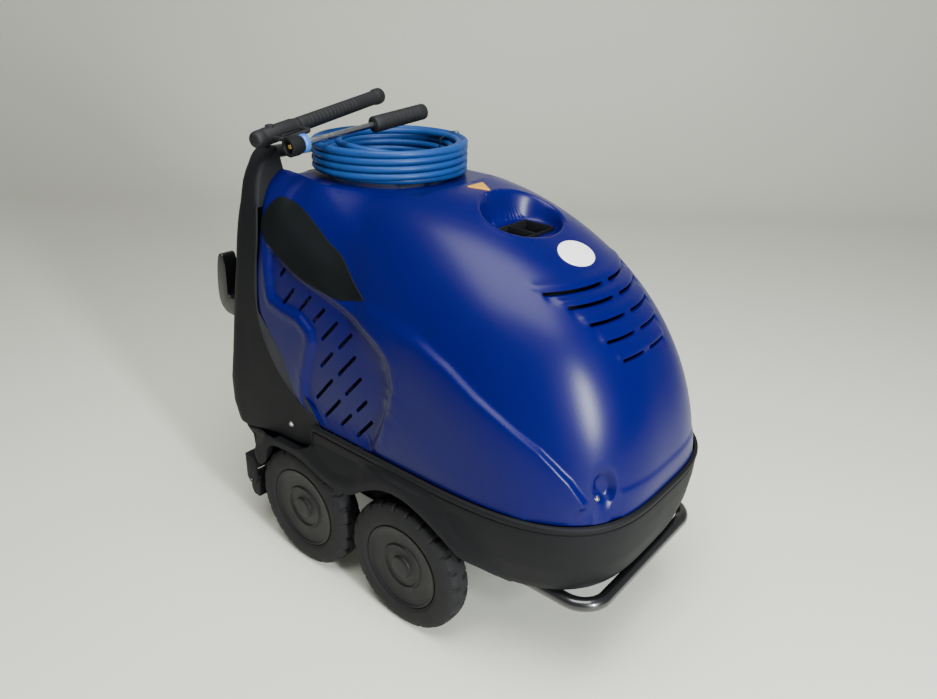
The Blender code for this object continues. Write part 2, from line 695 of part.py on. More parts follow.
def make_controls(root, finishes):
    centre, normal, up = on_panel(0.0, 0.772, GAP)
    rings = []
    for out, shrink in ((0.0, 0.0), (0.004, 0.0), (0.006, 0.002)):
        half_w, half_h, r = 0.165 - shrink, 0.058 - shrink, 0.012
        ring = []
        for cx, cz, first in ((half_w - r, half_h - r, 0), (-half_w + r, half_h - r, 1),
                              (-half_w + r, -half_h + r, 2), (half_w - r, -half_h + r, 3)):
            for i in range(4):
                angle = math.pi / 2.0 * (first + i / 3)
                ring.append(centre + normal * out + Vector((cx + r * math.cos(angle), 0, 0))
                            + up * (cz + r * math.sin(angle)))
        rings.append(ring)
    loft("control_panel", rings, finishes["panel_grey"], root)
    face = 0.006 + 2 * GAP

    def knob(name, u, height, radius, depth, finish):
        start, direction, _ = on_panel(u, height, face)
        turned(name, start, direction, [(0.0, radius), (0.003, radius), (0.004, radius * 0.86),
               (depth - 0.002, radius * 0.78), (depth, radius * 0.70)], finish, root, 16)

    knob("main_switch", -0.105, 0.772, 0.024, 0.020, finishes["red"])
    knob("temperature_knob", 0.0, 0.772, 0.024, 0.020, finishes["black"])
    knob("detergent_knob", 0.062, 0.756, 0.015, 0.016, finishes["black"])
    start, direction, _ = on_panel(0.118, 0.780, face)
    turned("pressure_gauge", start, direction, [(0.0, 0.026), (0.010, 0.026), (0.012, 0.0235)],
           finishes["white"], root, 24)
    start, direction, _ = on_panel(-0.052, 0.805, face)
    turned("power_lamp", start, direction, [(0.0, 0.0055), (0.002, 0.0055), (0.004, 0.003)],
           finishes["white"], root, 12)


def make_connections(root, finishes):
    """What the operator plugs in or fills, all on the rear."""
    def fitting(name, x, z, profile, finish, sides=16):
        y = rear_y(z)
        ahead, behind = rear_y(z + 0.01), rear_y(z - 0.01)
        direction = Vector((0, 0.02, behind - ahead)).normalized()
        clear = 0.0012
        return turned(name, Vector((x, y, z)) + direction * clear, direction, profile, finish,
                      root, sides)
    fitting("water_inlet", -0.120, 0.370, [(0.0, 0.016), (0.008, 0.016), (0.008, 0.012),
            (0.026, 0.012), (0.030, 0.010)], finishes["brass"])
    fitting("high_pressure_outlet", 0.120, 0.370, [(0.0, 0.018), (0.010, 0.018), (0.010, 0.011),
            (0.034, 0.011), (0.036, 0.009)], finishes["steel"])
    fitting("cable_gland", 0.0, 0.370, [(0.0, 0.015), (0.008, 0.015), (0.008, 0.012),
            (0.020, 0.010), (0.024, 0.0075)], finishes["black"])
    slope = Vector((0, 0.0600, -0.035)).normalized()
    normal = Vector((0, -slope.z, slope.y))
    for name, x, finish in (("fuel_cap", -0.095, "black"), ("detergent_cap", 0.095, "blue")):
        start = Vector((x, 0.3290, 0.8651)) + normal * 0.0010
        turned(name, start, normal, [(0.0, 0.021), (0.010, 0.021), (0.012, 0.019)],
               finishes[finish], root, 24)


# ---------------------------------------------------------------- inside

def make_inside(root, finishes):
    floor = BASE_BOTTOM + BASE_WALL + 2 * GAP
    drum = [(0, 0.128), (0.510, 0.128), (0.522, 0.110), (0.526, 0.024), (0.568, 0.024),
            (0.568, 0.018), (0.520, 0.018), (0.516, 0.106), (0.505, 0.122), (0.006, 0.122)]
    turned("boiler", (0, DISH_CENTRE_Y - 0.015, floor), (0, 0, 1), drum, finishes["steel"], root, 20)
    turned("burner_blower", (-0.060, 0.010, 0.610), (1, 0, 0), [(0, 0.066), (0.010, 0.072),
           (0.090, 0.072), (0.100, 0.066)], finishes["cast"], root, 24)
    turned("electric_motor", (-0.190, 0.020, 0.335), (1, 0, 0), [(0, 0.060), (0.015, 0.082),
           (0.190, 0.082), (0.205, 0.070)], finishes["cast"], root, 24)
    box("pump", (0.018, -0.040, 0.262), (0.185, 0.080, 0.392), finishes["brass"], root, 0.008)
    box("water_tank", (-0.165, 0.125, floor), (0.165, 0.315, 0.405), finishes["white"], root, 0.012)
    box("fuel_tank", (-0.262, 0.150, 0.432), (-0.012, 0.335, 0.665), finishes["white"], root, 0.015)
    box("detergent_tank", (0.012, 0.150, 0.432), (0.262, 0.335, 0.665), finishes["white"], root,
        0.015)
    box("control_box", (-0.150, 0.285, 0.690), (0.150, 0.345, 0.825), finishes["panel_grey"], root,
        0.003)


# ---------------------------------------------------------------- hose, gun and lance

def make_hose(root, finishes):
    middle = (COIL_BORE_R + COIL_R) / 2.0
    half = (COIL_R - COIL_BORE_R) / 2.0
    height = COIL_TOP_Z - COIL_BOTTOM_Z
    edge = 0.010
    profile = [(0.0, middle - half + edge), (0.0, middle + half - edge), (edge, COIL_R),
               (height - edge, COIL_R), (height, middle + half - edge),
               (height, middle - half + edge), (height - edge, COIL_BORE_R), (edge, COIL_BORE_R)]
    turned("hose_coil", (0, COIL_CENTRE_Y, COIL_BOTTOM_Z), (0, 0, 1), profile,
           finishes["hose_blue"], root, 36, True)
    fitting = [(0.0, 0.0085), (0.020, 0.0085), (0.022, 0.0115), (0.045, 0.0115), (0.047, 0.0095)]
    first = Vector((-0.045, 0.095, 0.9075))
    second = Vector((0.040, 0.215, 0.9075))
    turned("hose_end_machine", first, (1.0, 0.10, 0.0), fitting, finishes["steel"], root, 16)
    turned("hose_end_gun", second, (-1.0, 0.05, 0.0), fitting, finishes["steel"], root, 16)
    turned("red_end_cap", second + Vector((-1.0, 0.05, 0.0)).normalized() * 0.0475,
           (-1.0, 0.05, 0.0), [(0.0, 0.0125), (0.018, 0.0125), (0.020, 0.0105)],
           finishes["red"], root, 16)


def make_gun(root, finishes):
    axis = (GUN_END - GUN_START).normalized()
    side = Vector((axis.y, -axis.x, 0.0)).normalized()  # towards the front, where the grip lies
    body_length = 0.130
    body = turned("gun_body", GUN_START, axis, [(0.0, 0.012), (0.004, 0.0165), (0.030, 0.0185),
           (body_length - 0.012, 0.0175), (body_length, 0.0150)], finishes["black"], root, 16)
    barrel = [(0.0, 0.0145), (0.003, 0.0165), (0.270, 0.0165), (0.276, 0.0190), (0.292, 0.0190),
              (0.2965, 0.0160)]
    turned("gun_barrel", GUN_START + axis * (body_length + GAP), axis, barrel, finishes["black"],
           root, 16)
    flat = Vector((0, 0, -0.002))
    near = GUN_START + axis * 0.040 + side * 0.0100 + flat
    far = GUN_START + axis * 0.120 + side * 0.0100 + flat
    guard = tube_path("gun_guard", [near, near + side * 0.038, far + side * 0.038, far], 0.012,
                      0.0050, None, root, 10)
    combine(body, guard, "UNION")
    trigger_start = GUN_START + axis * 0.056 + side * 0.0230 + flat
    trigger_end = GUN_START + axis * 0.104 + side * 0.0290 + flat
    tube("gun_trigger", [trigger_start, trigger_start.lerp(trigger_end, 0.5) + side * 0.003,
                         trigger_end], 0.0035, finishes["black"], root, 10)


def make_lance(root, finishes):
    axis = (LANCE_END - LANCE_START).normalized()
    length = (LANCE_END - LANCE_START).length
    grip_length = 0.150
    guard = [(0.0, 0.0150), (0.0, 0.0205), (0.020, 0.0205), (0.032, 0.0160), (0.032, 0.0090),
             (0.010, 0.0090)]
    turned("nozzle_guard", LANCE_START, axis, guard, finishes["black"], root, 16, True)
    turned("nozzle_tip", LANCE_START + axis * 0.004, axis, [(0.0, 0.0045), (0.003, 0.0060),
           (0.026, 0.0060)], finishes["brass"], root, 12)
    turned("nozzle_collar", LANCE_START + axis * (0.032 + GAP), axis, [(0.0, 0.0165),
           (0.004, 0.0185), (0.012, 0.0185), (0.016, 0.0120)], finishes["hose_blue"], root, 16)
    start = 0.048 + 2 * GAP
    rod("lance_tube", LANCE_START + axis * start,
        LANCE_START + axis * (length - grip_length - GAP), 0.0065, finishes["steel"], root, 14)
    grip = [(0.0, 0.0140), (0.003, 0.0175), (grip_length - 0.003, 0.0175),
            (grip_length, 0.0150)]
    turned("lance_grip", LANCE_START + axis * (length - grip_length), axis, grip,
           finishes["black"], root, 18)


def main():
    for thing in list(bpy.data.objects):
        bpy.data.objects.remove(thing, do_unlink=True)
    finishes = {
        "blue": material("hood_blue", (0.010, 0.012, 0.300), 0.38),
        "black": material("moulded_black", (0.018, 0.018, 0.020), 0.62),
        "gloss_black": material("gloss_black", (0.008, 0.008, 0.009), 0.25),
        "tyre": material("tyre_rubber", (0.022, 0.022, 0.024), 0.85),
        "hub": material("hub_black", (0.016, 0.016, 0.018), 0.50),
        "steel": material("zinc_steel", (0.62, 0.62, 0.60), 0.30, 1.0),
        "cast": material("cast_metal", (0.30, 0.31, 0.33), 0.55, 0.6),
        "brass": material("brass", (0.70, 0.50, 0.20), 0.30, 1.0),
        "hose_blue": material("hose_blue", (0.020, 0.095, 0.330), 0.45),
        "panel_grey": material("panel_grey", (0.10, 0.10, 0.11), 0.55),
        "red": material("signal_red", (0.45, 0.02, 0.03), 0.40),
        "yellow": material("label_yellow", (0.75, 0.50, 0.03), 0.50),
        "white": material("label_white", (0.75, 0.75, 0.73), 0.50),
    }
    root = bpy.data.objects.new("machine", None)
    bpy.context.scene.collection.objects.link(root)
    root.location = (0.0, ORIGIN_SHIFT_Y, 0.0)
    make_wheels(root, finishes)
    make_chassis(root, finishes)
    make_brake(root, finishes)
    make_base(root, finishes)
    make_hood(root, finishes)
    make_hood_trim(root, finishes)
    make_flue_grille(root, finishes)
    make_housing(root, finishes)
    make_controls(root, finishes)
    make_connections(root, finishes)
    make_inside(root, finishes)
    make_hose(root, finishes)
    make_gun(root, finishes)
    make_lance(root, finishes)


main()
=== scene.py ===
"""Looks of a wheeled commercial pressure washer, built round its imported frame.

Sizes are in metres. Each class below is one sub-assembly: its fields hold the sizes, its methods
build the meshes and dress them. Sizes are counted from the point midway between the four wheels,
and `settle` moves each finished mesh to the part's own frame.
"""

import logging
import math
from collections.abc import Sequence
from dataclasses import dataclass, field
from enum import Enum

import bmesh
import bpy
import numpy as np
from mathutils import Matrix, Vector

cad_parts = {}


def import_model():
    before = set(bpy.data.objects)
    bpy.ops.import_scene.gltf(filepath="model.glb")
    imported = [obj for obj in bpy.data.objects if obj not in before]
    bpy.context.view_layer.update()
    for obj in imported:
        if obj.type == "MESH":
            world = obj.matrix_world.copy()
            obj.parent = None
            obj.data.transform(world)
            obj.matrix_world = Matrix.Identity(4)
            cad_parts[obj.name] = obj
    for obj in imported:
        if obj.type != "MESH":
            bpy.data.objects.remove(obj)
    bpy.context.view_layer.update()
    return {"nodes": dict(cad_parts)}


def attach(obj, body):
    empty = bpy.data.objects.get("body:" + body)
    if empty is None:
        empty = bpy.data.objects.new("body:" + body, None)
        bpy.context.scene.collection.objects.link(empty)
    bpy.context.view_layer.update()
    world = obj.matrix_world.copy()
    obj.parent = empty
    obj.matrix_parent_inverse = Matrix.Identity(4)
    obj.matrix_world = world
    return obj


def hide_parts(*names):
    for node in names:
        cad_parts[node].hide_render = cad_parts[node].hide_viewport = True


LOG = logging.getLogger("washer")
SHIFT_Y = 0.0574  # from the wheels' middle to the middle of the overall length
Point = tuple[float, float, float]
Outline = Sequence[tuple[float, float]]


class Side(Enum):
    """The machine's two sides; the value is the sign of X."""

    LEFT = -1
    RIGHT = 1

    @property
    def word(self) -> str:
        """The side's name as the nodes spell it."""
        return self.name.lower()


# ---------------------------------------------------------------- finishes

def linear(hex_colour: str) -> tuple[float, float, float, float]:
    """Turns an sRGB hex colour to linear light.

    Args:
        hex_colour: six hex digits after a hash.

    Returns:
        Red, green, blue and an alpha of 1.
    """
    parts = [int(hex_colour[i:i + 2], 16) / 255.0 for i in (1, 3, 5)]
    light = [c / 12.92 if c <= 0.04045 else ((c + 0.055) / 1.055) ** 2.4 for c in parts]
    return (*light, 1.0)


def add_node(tree: bpy.types.NodeTree, kind: str, sockets: dict | None = None,
             **settings: object) -> bpy.types.Node:
    """Adds one node with its settings, values and incoming links.

    Args:
        tree: the node tree.
        kind: the node's type name.
        sockets: input name or number to a value, or to the output that feeds it.
        **settings: the node's own attributes.

    Returns:
        The new node.
    """
    made = tree.nodes.new(kind)
    for key, value in settings.items():
        setattr(made, key, value)
    for key, value in (sockets or {}).items():
        if isinstance(value, bpy.types.NodeSocket):
            tree.links.new(value, made.inputs[key])
        else:
            made.inputs[key].default_value = value
    return made


@dataclass(frozen=True)
class Finish:
    """A surface finish: a Principled shader with cloudy colour, uneven gloss and a fine relief.

    Attributes:
        slot: the record's material slot it stands for; nothing in the script reads it.
        colour: the main colour.
        second: the colour it drifts towards.
        roughness: the mean roughness.
        rough_swing: how far the roughness wanders from its mean.
        metallic: 1 for bare metal.
        cloud: size of the drifting patches, in metres.
        grain: size of the relief's grains, in metres.
        relief: depth of the relief, in metres.
        coat: strength of a clear coat.
        ior: the index of refraction, or None to keep the shader's own.
    """

    slot: str
    colour: str
    second: str
    roughness: float
    rough_swing: float = 0.06
    metallic: float = 0.0
    cloud: float = 0.09
    grain: float = 0.0016
    relief: float = 0.00012
    coat: float = 0.0
    ior: float | None = 1.5

    def relief_height(self, tree: bpy.types.NodeTree, place: bpy.types.NodeSocket
                      ) -> bpy.types.NodeSocket:
        """The height pattern: moulded grain unless a finish has its own.

        Args:
            tree: the material's node tree.
            place: the place on the piece.

        Returns:
            The height's socket.
        """
        grain = add_node(tree, "ShaderNodeTexNoise", {"Vector": place, "Scale": 1.0 / self.grain,
                                                      "Detail": 3.0, "Roughness": 0.55})
        return grain.outputs["Fac"]

    def material(self, name: str) -> bpy.types.Material:
        """Builds the finish as a new material.

        Args:
            name: the material's name.

        Returns:
            The material.
        """
        made = bpy.data.materials.new(name)
        made.use_nodes = True
        made.diffuse_color = linear(self.colour)
        tree = made.node_tree
        shader = tree.nodes["Principled BSDF"]
        place = add_node(tree, "ShaderNodeTexCoord").outputs["Object"]
        cloud = add_node(tree, "ShaderNodeTexNoise",
                         {"Vector": place, "Scale": 1.0 / self.cloud, "Detail": 4.0})
        blend = add_node(tree, "ShaderNodeMix", {0: cloud.outputs["Fac"],
                                                 6: linear(self.colour), 7: linear(self.second)},
                         data_type="RGBA")
        tree.links.new(blend.outputs[2], shader.inputs["Base Color"])
        wander = add_node(tree, "ShaderNodeMapRange",
                          {"Value": cloud.outputs["Fac"], "From Min": 0.3, "From Max": 0.7,
                           "To Min": self.roughness - self.rough_swing,
                           "To Max": self.roughness + self.rough_swing})
        tree.links.new(wander.outputs["Result"], shader.inputs["Roughness"])
        bump = add_node(tree, "ShaderNodeBump", {"Height": self.relief_height(tree, place),
                                                 "Strength": 1.0, "Distance": self.relief})
        tree.links.new(bump.outputs["Normal"], shader.inputs["Normal"])
        shader.inputs["Metallic"].default_value = self.metallic
        shader.inputs["Coat Weight"].default_value = self.coat
        shader.inputs["Coat Roughness"].default_value = 0.06
        if self.ior is not None:
            shader.inputs["IOR"].default_value = self.ior
        return made


@dataclass(frozen=True)
class Brushed(Finish):
    """Metal drawn or brushed along its length: the grain is long and fine."""

    along: Point = (1.0, 0.0, 0.0)

    def relief_height(self, tree: bpy.types.NodeTree, place: bpy.types.NodeSocket
                      ) -> bpy.types.NodeSocket:
        """Fine lines that run along the piece.

        Args:
            tree: the material's node tree.
            place: the place on the piece.

        Returns:
            The height's socket.
        """
        stretch = [1.0 / (self.grain * (25.0 if abs(a) > 0.5 else 1.0)) for a in self.along]
        drawn = add_node(tree, "ShaderNodeMapping", {"Vector": place, "Scale": stretch})
        lines = add_node(tree, "ShaderNodeTexNoise", {"Vector": drawn.outputs["Vector"],
                                                      "Scale": 1.0, "Detail": 2.0})
        return lines.outputs["Fac"]


@dataclass(frozen=True)
class Knurled(Finish):
    """Moulded rubber with a fine cell pattern, as on grips and hose covers."""

    def relief_height(self, tree: bpy.types.NodeTree, place: bpy.types.NodeSocket
                      ) -> bpy.types.NodeSocket:
        """Small closed cells.

        Args:
            tree: the material's node tree.
            place: the place on the piece.

        Returns:
            The height's socket.
        """
        cells = add_node(tree, "ShaderNodeTexVoronoi", {"Vector": place,
                                                        "Scale": 1.0 / self.grain})
        return cells.outputs["Distance"]


# Rotational-moulded polyethylene: satin, a little waxy, with a fine orange peel. The index is under
# the plastic's own 1.5, here and on the blacks, to keep the colour deep in pale surroundings.
HOOD_BLUE = Finish("hood_blue", "#040242", "#05034A", 0.3, 0.02, cloud=0.22, grain=0.003,
                   relief=0.00008, ior=1.27)
# Etched-tool ABS: near black and dry-looking; the grain is drawn at 2 mm so that it shows.
TUB_BLACK = Finish("moulded_black", "#0E0F10", "#131416", 0.58, 0.05, grain=0.002,
                   relief=0.00028, ior=1.22)
# The same plastic in a finer grain, for the leaf inserts and small mouldings.
INSERT_BLACK = Finish("moulded_black", "#080A0B", "#0C0F10", 0.58, 0.05, grain=0.0014,
                      relief=0.00022, ior=1.18)
# Polyamide, as moulded: smoother than the tub.
HUB_BLACK = Finish("hub_black", "#0E0E0F", "#141415", 0.46, 0.07, cloud=0.04, grain=0.0018,
                   relief=0.0001, ior=1.3)
# Solid tyre rubber, dull with a dusty bloom.
TYRE_RUBBER = Finish("tyre_rubber", "#0D0D0E", "#191919", 0.8, 0.08, cloud=0.03, grain=0.0016,
                     relief=0.0002, ior=1.36)
# Gloss powder coat over steel tube.
GLOSS_TUBE = Finish("gloss_black", "#0B0B0C", "#101011", 0.28, 0.05, grain=0.004, relief=0.00004,
                    coat=0.6)
# Gloss ABS, for the paddle hooks.
HOOK_BLACK = Finish("hook_black", "#0C0D0E", "#111213", 0.24, 0.05, grain=0.004, relief=0.00004,
                    coat=0.3)
# Zinc-plated and stainless steel.
BRIGHT_STEEL = Brushed("zinc_steel", "#B9BBBC", "#A6A9AB", 0.26, 0.07, 1.0, cloud=0.02,
                       grain=0.0006, relief=0.00002, ior=None)
DARK_STEEL = Finish("zinc_steel", "#6E7072", "#56585A", 0.42, 0.1, 1.0, grain=0.002,
                    relief=0.00005, ior=None)
# Sand-cast iron under grey enamel.
CAST_IRON = Finish("cast_iron_grey", "#55595C", "#4A4E51", 0.55, 0.08, grain=0.0025,
                   relief=0.0003)
# Pressure-cast aluminium alloy, bare.
CAST_ALLOY = Finish("cast_alloy", "#8F9395", "#7F8386", 0.5, 0.08, 1.0, grain=0.002,
                    relief=0.00015, ior=None)
# Turned brass with a light tarnish.
BRASS = Finish("brass", "#C9A255", "#A98440", 0.3, 0.1, 1.0, cloud=0.015, grain=0.001,
               relief=0.00003, ior=None)
# Braided high-pressure hose with a fabric-marked synthetic rubber cover.
HOSE_COVER = Knurled("hose_rubber", "#0A3A74", "#083064", 0.46, 0.07, cloud=0.03, grain=0.0011,
                     relief=0.00008, ior=1.33)
# Coloured polyamide for collars and caps.
COLLAR_BLUE = Finish("hose_blue", "#2C66A8", "#255A97", 0.38, 0.05, grain=0.0015, relief=0.00006)
SIGNAL_RED = Finish("signal_red", "#A3182A", "#8E1222", 0.36, 0.05, grain=0.0015, relief=0.00006)
PANEL_GREY = Finish("panel_grey", "#5A5D60", "#52555A", 0.5, 0.05, grain=0.0012, relief=0.00012)
# Grip rubber with a fine cell pattern.
GRIP_RUBBER = Knurled("moulded_black", "#0D0E0F", "#141516", 0.62, 0.06, cloud=0.02, grain=0.0016,
                      relief=0.00025, ior=1.36)
# Printed vinyl film under clear laminate, left plain.
BADGE_FILM = Finish("badge_white", "#E4E3DF", "#DBDAD6", 0.3, 0.04, grain=0.005, relief=0.00003)
YELLOW_FILM = Finish("label_yellow", "#B9830A", "#B07C09", 0.34, 0.04, grain=0.005,
                     relief=0.00003)
# Natural blow-moulded polyethylene tanks.
TANK_WHITE = Finish("tank_white", "#B9B8AC", "#A9A89C", 0.48, 0.05, grain=0.003, relief=0.00015)
DIAL_WHITE = Finish("badge_white", "#E8E8E4", "#E2E2DE", 0.35, 0.02, grain=0.005,
                    relief=0.00001)


# ---------------------------------------------------------------- shared modelling

def mm(*groups: tuple[float, ...]) -> tuple[tuple[float, ...], ...]:
    """Turns groups of millimetres to metres, to the nearest tenth of a micron."""
    return tuple(tuple(round(size / 1000.0, 7) for size in group) for group in groups)


def clear_selection() -> None:
    """Leaves edit mode and deselects everything."""
    if bpy.context.object and bpy.context.object.mode != "OBJECT":
        bpy.ops.object.mode_set(mode="OBJECT")
    bpy.ops.object.select_all(action="DESELECT")
    bpy.context.tool_settings.mesh_select_mode = (True, False, False)


def select_only(thing: bpy.types.Object) -> None:
    """Makes one object the selected and active one.

    Args:
        thing: the object.
    """
    clear_selection()
    thing.select_set(True)
    bpy.context.view_layer.objects.active = thing


def shade(thing: bpy.types.Object, angle: float = 32.0) -> None:
    """Shades an object smooth apart from its sharp edges."""
    select_only(thing)
    bpy.ops.object.shade_smooth_by_angle(angle=math.radians(angle))


def apply_modifiers(thing: bpy.types.Object) -> None:
    """Applies every modifier.

    Args:
        thing: the object that has them.
    """
    select_only(thing)
    for change in list(thing.modifiers):
        bpy.ops.object.modifier_apply(modifier=change.name)


def put(name: str, data: bpy.types.ID) -> bpy.types.Object:
    """Puts new data into the scene.

    Args:
        name: the object's name.
        data: its mesh, curve, lamp or camera.

    Returns:
        The object.
    """
    thing = bpy.data.objects.new(name, data)
    bpy.context.scene.collection.objects.link(thing)
    return thing


def close_up(thing: bpy.types.Object, gap: float) -> None:
    """Merges a mesh's points and turns its faces outwards.

    Args:
        thing: the mesh's object.
        gap: how close the points are that become one.
    """
    select_only(thing)
    bpy.ops.object.mode_set(mode="EDIT")
    bpy.ops.mesh.select_all(action="SELECT")
    bpy.ops.mesh.remove_doubles(threshold=gap)
    bpy.ops.mesh.normals_make_consistent(inside=False)
    bpy.ops.object.mode_set(mode="OBJECT")


def mirror_half(half: bpy.types.Object, gap: float) -> None:
    """Completes a piece that was built on the +X side only.

    Args:
        half: the half, with its edge on the centre line.
        gap: how close the points are that become one.
    """
    flip = half.modifiers.new("half", "MIRROR")
    flip.use_clip = True
    flip.merge_threshold = 0.0002
    apply_modifiers(half)
    close_up(half, gap)


def bevel(thing: bpy.types.Object, width: float, segments: int = 3, angle: float = 40.0) -> None:
    """Rounds an object's sharp edges.

    Args:
        thing: the object.
        width: the rounding's width.
        segments: steps in the rounding.
        angle: the least angle, in degrees, of an edge that is rounded.
    """
    edge = thing.modifiers.new("edges", "BEVEL")
    edge.width = width
    edge.segments = segments
    edge.limit_method = "ANGLE"
    edge.angle_limit = math.radians(angle)
    edge.use_clamp_overlap = True
    apply_modifiers(thing)


def cut(thing: bpy.types.Object, cutter: bpy.types.Object) -> None:
    """Takes one object's shape out of another and removes the cutter.

    Args:
        thing: what is cut.
        cutter: what cuts.
    """
    change = thing.modifiers.new("cut", "BOOLEAN")
    change.operation = "DIFFERENCE"
    change.solver = "EXACT"
    change.object = cutter
    apply_modifiers(thing)
    bpy.data.objects.remove(cutter, do_unlink=True)


def join(things: Sequence[bpy.types.Object], name: str) -> bpy.types.Object:
    """Joins objects into the first one.

    Args:
        things: the objects.
        name: the joined object's name.

    Returns:
        The joined object.
    """
    clear_selection()
    for thing in things:
        thing.select_set(True)
    bpy.context.view_layer.objects.active = things[0]
    bpy.ops.object.join()
    things[0].name = name
    return things[0]


def settle(thing: bpy.types.Object, finish: Finish, body: str, *nodes: str,
           angle: float | None = 32.0) -> bpy.types.Object:
    """Puts a finished piece in its place, and dresses it.

    Args:
        thing: the piece, built round the wheels' middle.
        finish: its finish.
        body: the CAD body it rides on.
        *nodes: the CAD nodes it stands for.
        angle: the smooth-shading angle in degrees, or None to leave the shading alone.

    Returns:
        The piece.
    """
    thing.matrix_world = Matrix.Translation((0.0, SHIFT_Y, 0.0)) @ thing.matrix_world
    select_only(thing)
    bpy.ops.object.transform_apply(location=True, rotation=True, scale=True)
    if angle is not None:
        shade(thing, angle)
    thing.data.materials.clear()
    thing.data.materials.append(finish.material(f"{thing.name}_finish"))
    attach(thing, body)
    if nodes:
        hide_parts(*nodes)
    LOG.info("%s: %d faces on %s", thing.name, len(thing.data.polygons), body)
    return thing


def aim(thing: bpy.types.Object, start: Vector, direction: Vector) -> None:
    """Turns an object's +Z along a direction, moves it and applies both.

    Args:
        thing: the object, built at the origin.
        start: where its origin goes.
        direction: where its +Z points.
    """
    turn = Vector(direction).normalized().to_track_quat("Z", "Y").to_matrix().to_4x4()
    thing.matrix_world = Matrix.Translation(start) @ turn
    select_only(thing)
    bpy.ops.object.transform_apply(location=True, rotation=True, scale=True)


def lathe(name: str, profile: Outline, start: Vector | Point, direction: Vector | Point,
          sides: int = 64, ring: bool = False) -> bpy.types.Object:
    """Turns a profile: a circle is extruded and scaled from step to step.

    Args:
        name: the object's name.
        profile: (distance along, radius) pairs.
        start: where the axis starts.
        direction: along the axis.
        sides: faces round the axis.
        ring: joins the last step to the first, for a piece with a bore.

    Returns:
        The object.
    """
    clear_selection()
    first, radius = profile[0]
    bpy.ops.mesh.primitive_circle_add(vertices=sides, radius=radius, location=(0, 0, 0),
                                      fill_type="NOTHING" if ring else "NGON")
    thing = bpy.context.object
    thing.name = name
    bpy.ops.object.mode_set(mode="EDIT")
    bpy.ops.mesh.select_all(action="SELECT")
    bpy.ops.transform.translate(value=(0, 0, first))
    steps = list(profile[1:]) + ([profile[0]] if ring else [])
    height = first
    for along, wide in steps:
        bpy.ops.mesh.extrude_region_move(TRANSFORM_OT_translate={"value": (0, 0, along - height)})
        scale = wide / radius
        bpy.ops.transform.resize(value=(scale, scale, 1.0), center_override=(0, 0, along))
        height, radius = along, wide
    close_up(thing, 0.000005)
    aim(thing, Vector(start), Vector(direction))
    return thing


def slab(name: str, outline: Outline, axis: str, low: float, high: float, edge: float = 0.0,
         segments: int = 3) -> bpy.types.Object:
    """Gives an outline a thickness: a ring of points is filled and extruded along an axis.

    Args:
        name: the object's name.
        outline: points in the plane square to the axis.
        axis: 'X', 'Y' or 'Z'.
        low: where it starts along the axis.
        high: where it ends.
        edge: the rounding of its edges.
        segments: steps in the rounding.

    Returns:
        The object.
    """
    def at(u: float, v: float) -> Point:
        """Puts a point of the outline in space."""
        return {"X": (low, u, v), "Y": (u, low, v), "Z": (u, v, low)}[axis]

    clear_selection()
    bpy.ops.mesh.primitive_circle_add(vertices=len(outline), radius=1.0, fill_type="NGON")
    thing = bpy.context.object
    thing.name = name
    for vertex, (u, v) in zip(thing.data.vertices, outline):
        vertex.co = at(u, v)
    bpy.ops.object.mode_set(mode="EDIT")
    bpy.ops.mesh.select_all(action="SELECT")
    move = {"X": (high - low, 0, 0), "Y": (0, high - low, 0), "Z": (0, 0, high - low)}[axis]
    bpy.ops.mesh.extrude_region_move(TRANSFORM_OT_translate={"value": move})
    bpy.ops.mesh.select_all(action="SELECT")
    bpy.ops.mesh.normals_make_consistent(inside=False)
    bpy.ops.object.mode_set(mode="OBJECT")
    if edge:
        bevel(thing, edge, segments)
    return thing


def block(name: str, low: Point, high: Point, edge: float = 0.0,
          segments: int = 3) -> bpy.types.Object:
    """A box with rounded edges.

    Args:
        name: the object's name.
        low: its lowest corner.
        high: its highest corner.
        edge: the rounding of its edges.
        segments: steps in the rounding.

    Returns:
        The object.
    """
    outline = [(low[0], low[1]), (high[0], low[1]), (high[0], high[1]), (low[0], high[1])]
    return slab(name, outline, "Z", low[2], high[2], edge, segments)


def bent_line(corners: Sequence[Point], bend: float, steps: int = 10) -> list[Vector]:
    """Straight runs whose corners are arcs.

    Args:
        corners: the corner points.
        bend: the arcs' radius.
        steps: points in each arc.

    Returns:
        The points of the line.
    """
    spots = [Vector(c) for c in corners]
    line = [spots[0]]
    for before, here, after in zip(spots, spots[1:], spots[2:]):
        back, ahead = (before - here).normalized(), (after - here).normalized()
        half = back.angle(ahead) / 2.0
        centre = here + (back + ahead).normalized() * (bend / math.sin(half))
        first = here + back * (bend / math.tan(half)) - centre
        normal = first.cross(here + ahead * (bend / math.tan(half)) - centre).normalized()
        for i in range(steps + 1):
            turn = (math.pi - 2.0 * half) * i / steps
            line.append(centre + first * math.cos(turn) + normal.cross(first) * math.sin(turn))
    line.append(spots[-1])
    return line


def round_curve(name: str, line: Sequence[Vector], radius: float, around: int,
                radii: Sequence[float] | None = None) -> bpy.types.Object:
    """A round curve with closed ends.

    Args:
        name: the object's name.
        line: its centre line.
        radius: its radius.
        around: how fine it is round its section.
        radii: the share of the radius at each point, for one that tapers.

    Returns:
        The curve's object.
    """
    shape = bpy.data.curves.new(name, "CURVE")
    shape.dimensions = "3D"
    shape.bevel_depth = radius
    shape.bevel_resolution = around
    shape.use_fill_caps = True
    run = shape.splines.new("POLY")
    run.points.add(len(line) - 1)
    run.use_smooth = True
    for i, (spot, here) in enumerate(zip(run.points, line)):
        spot.co = (*here, 1.0)
        spot.radius = radii[i] if radii else 1.0
    return put(name, shape)


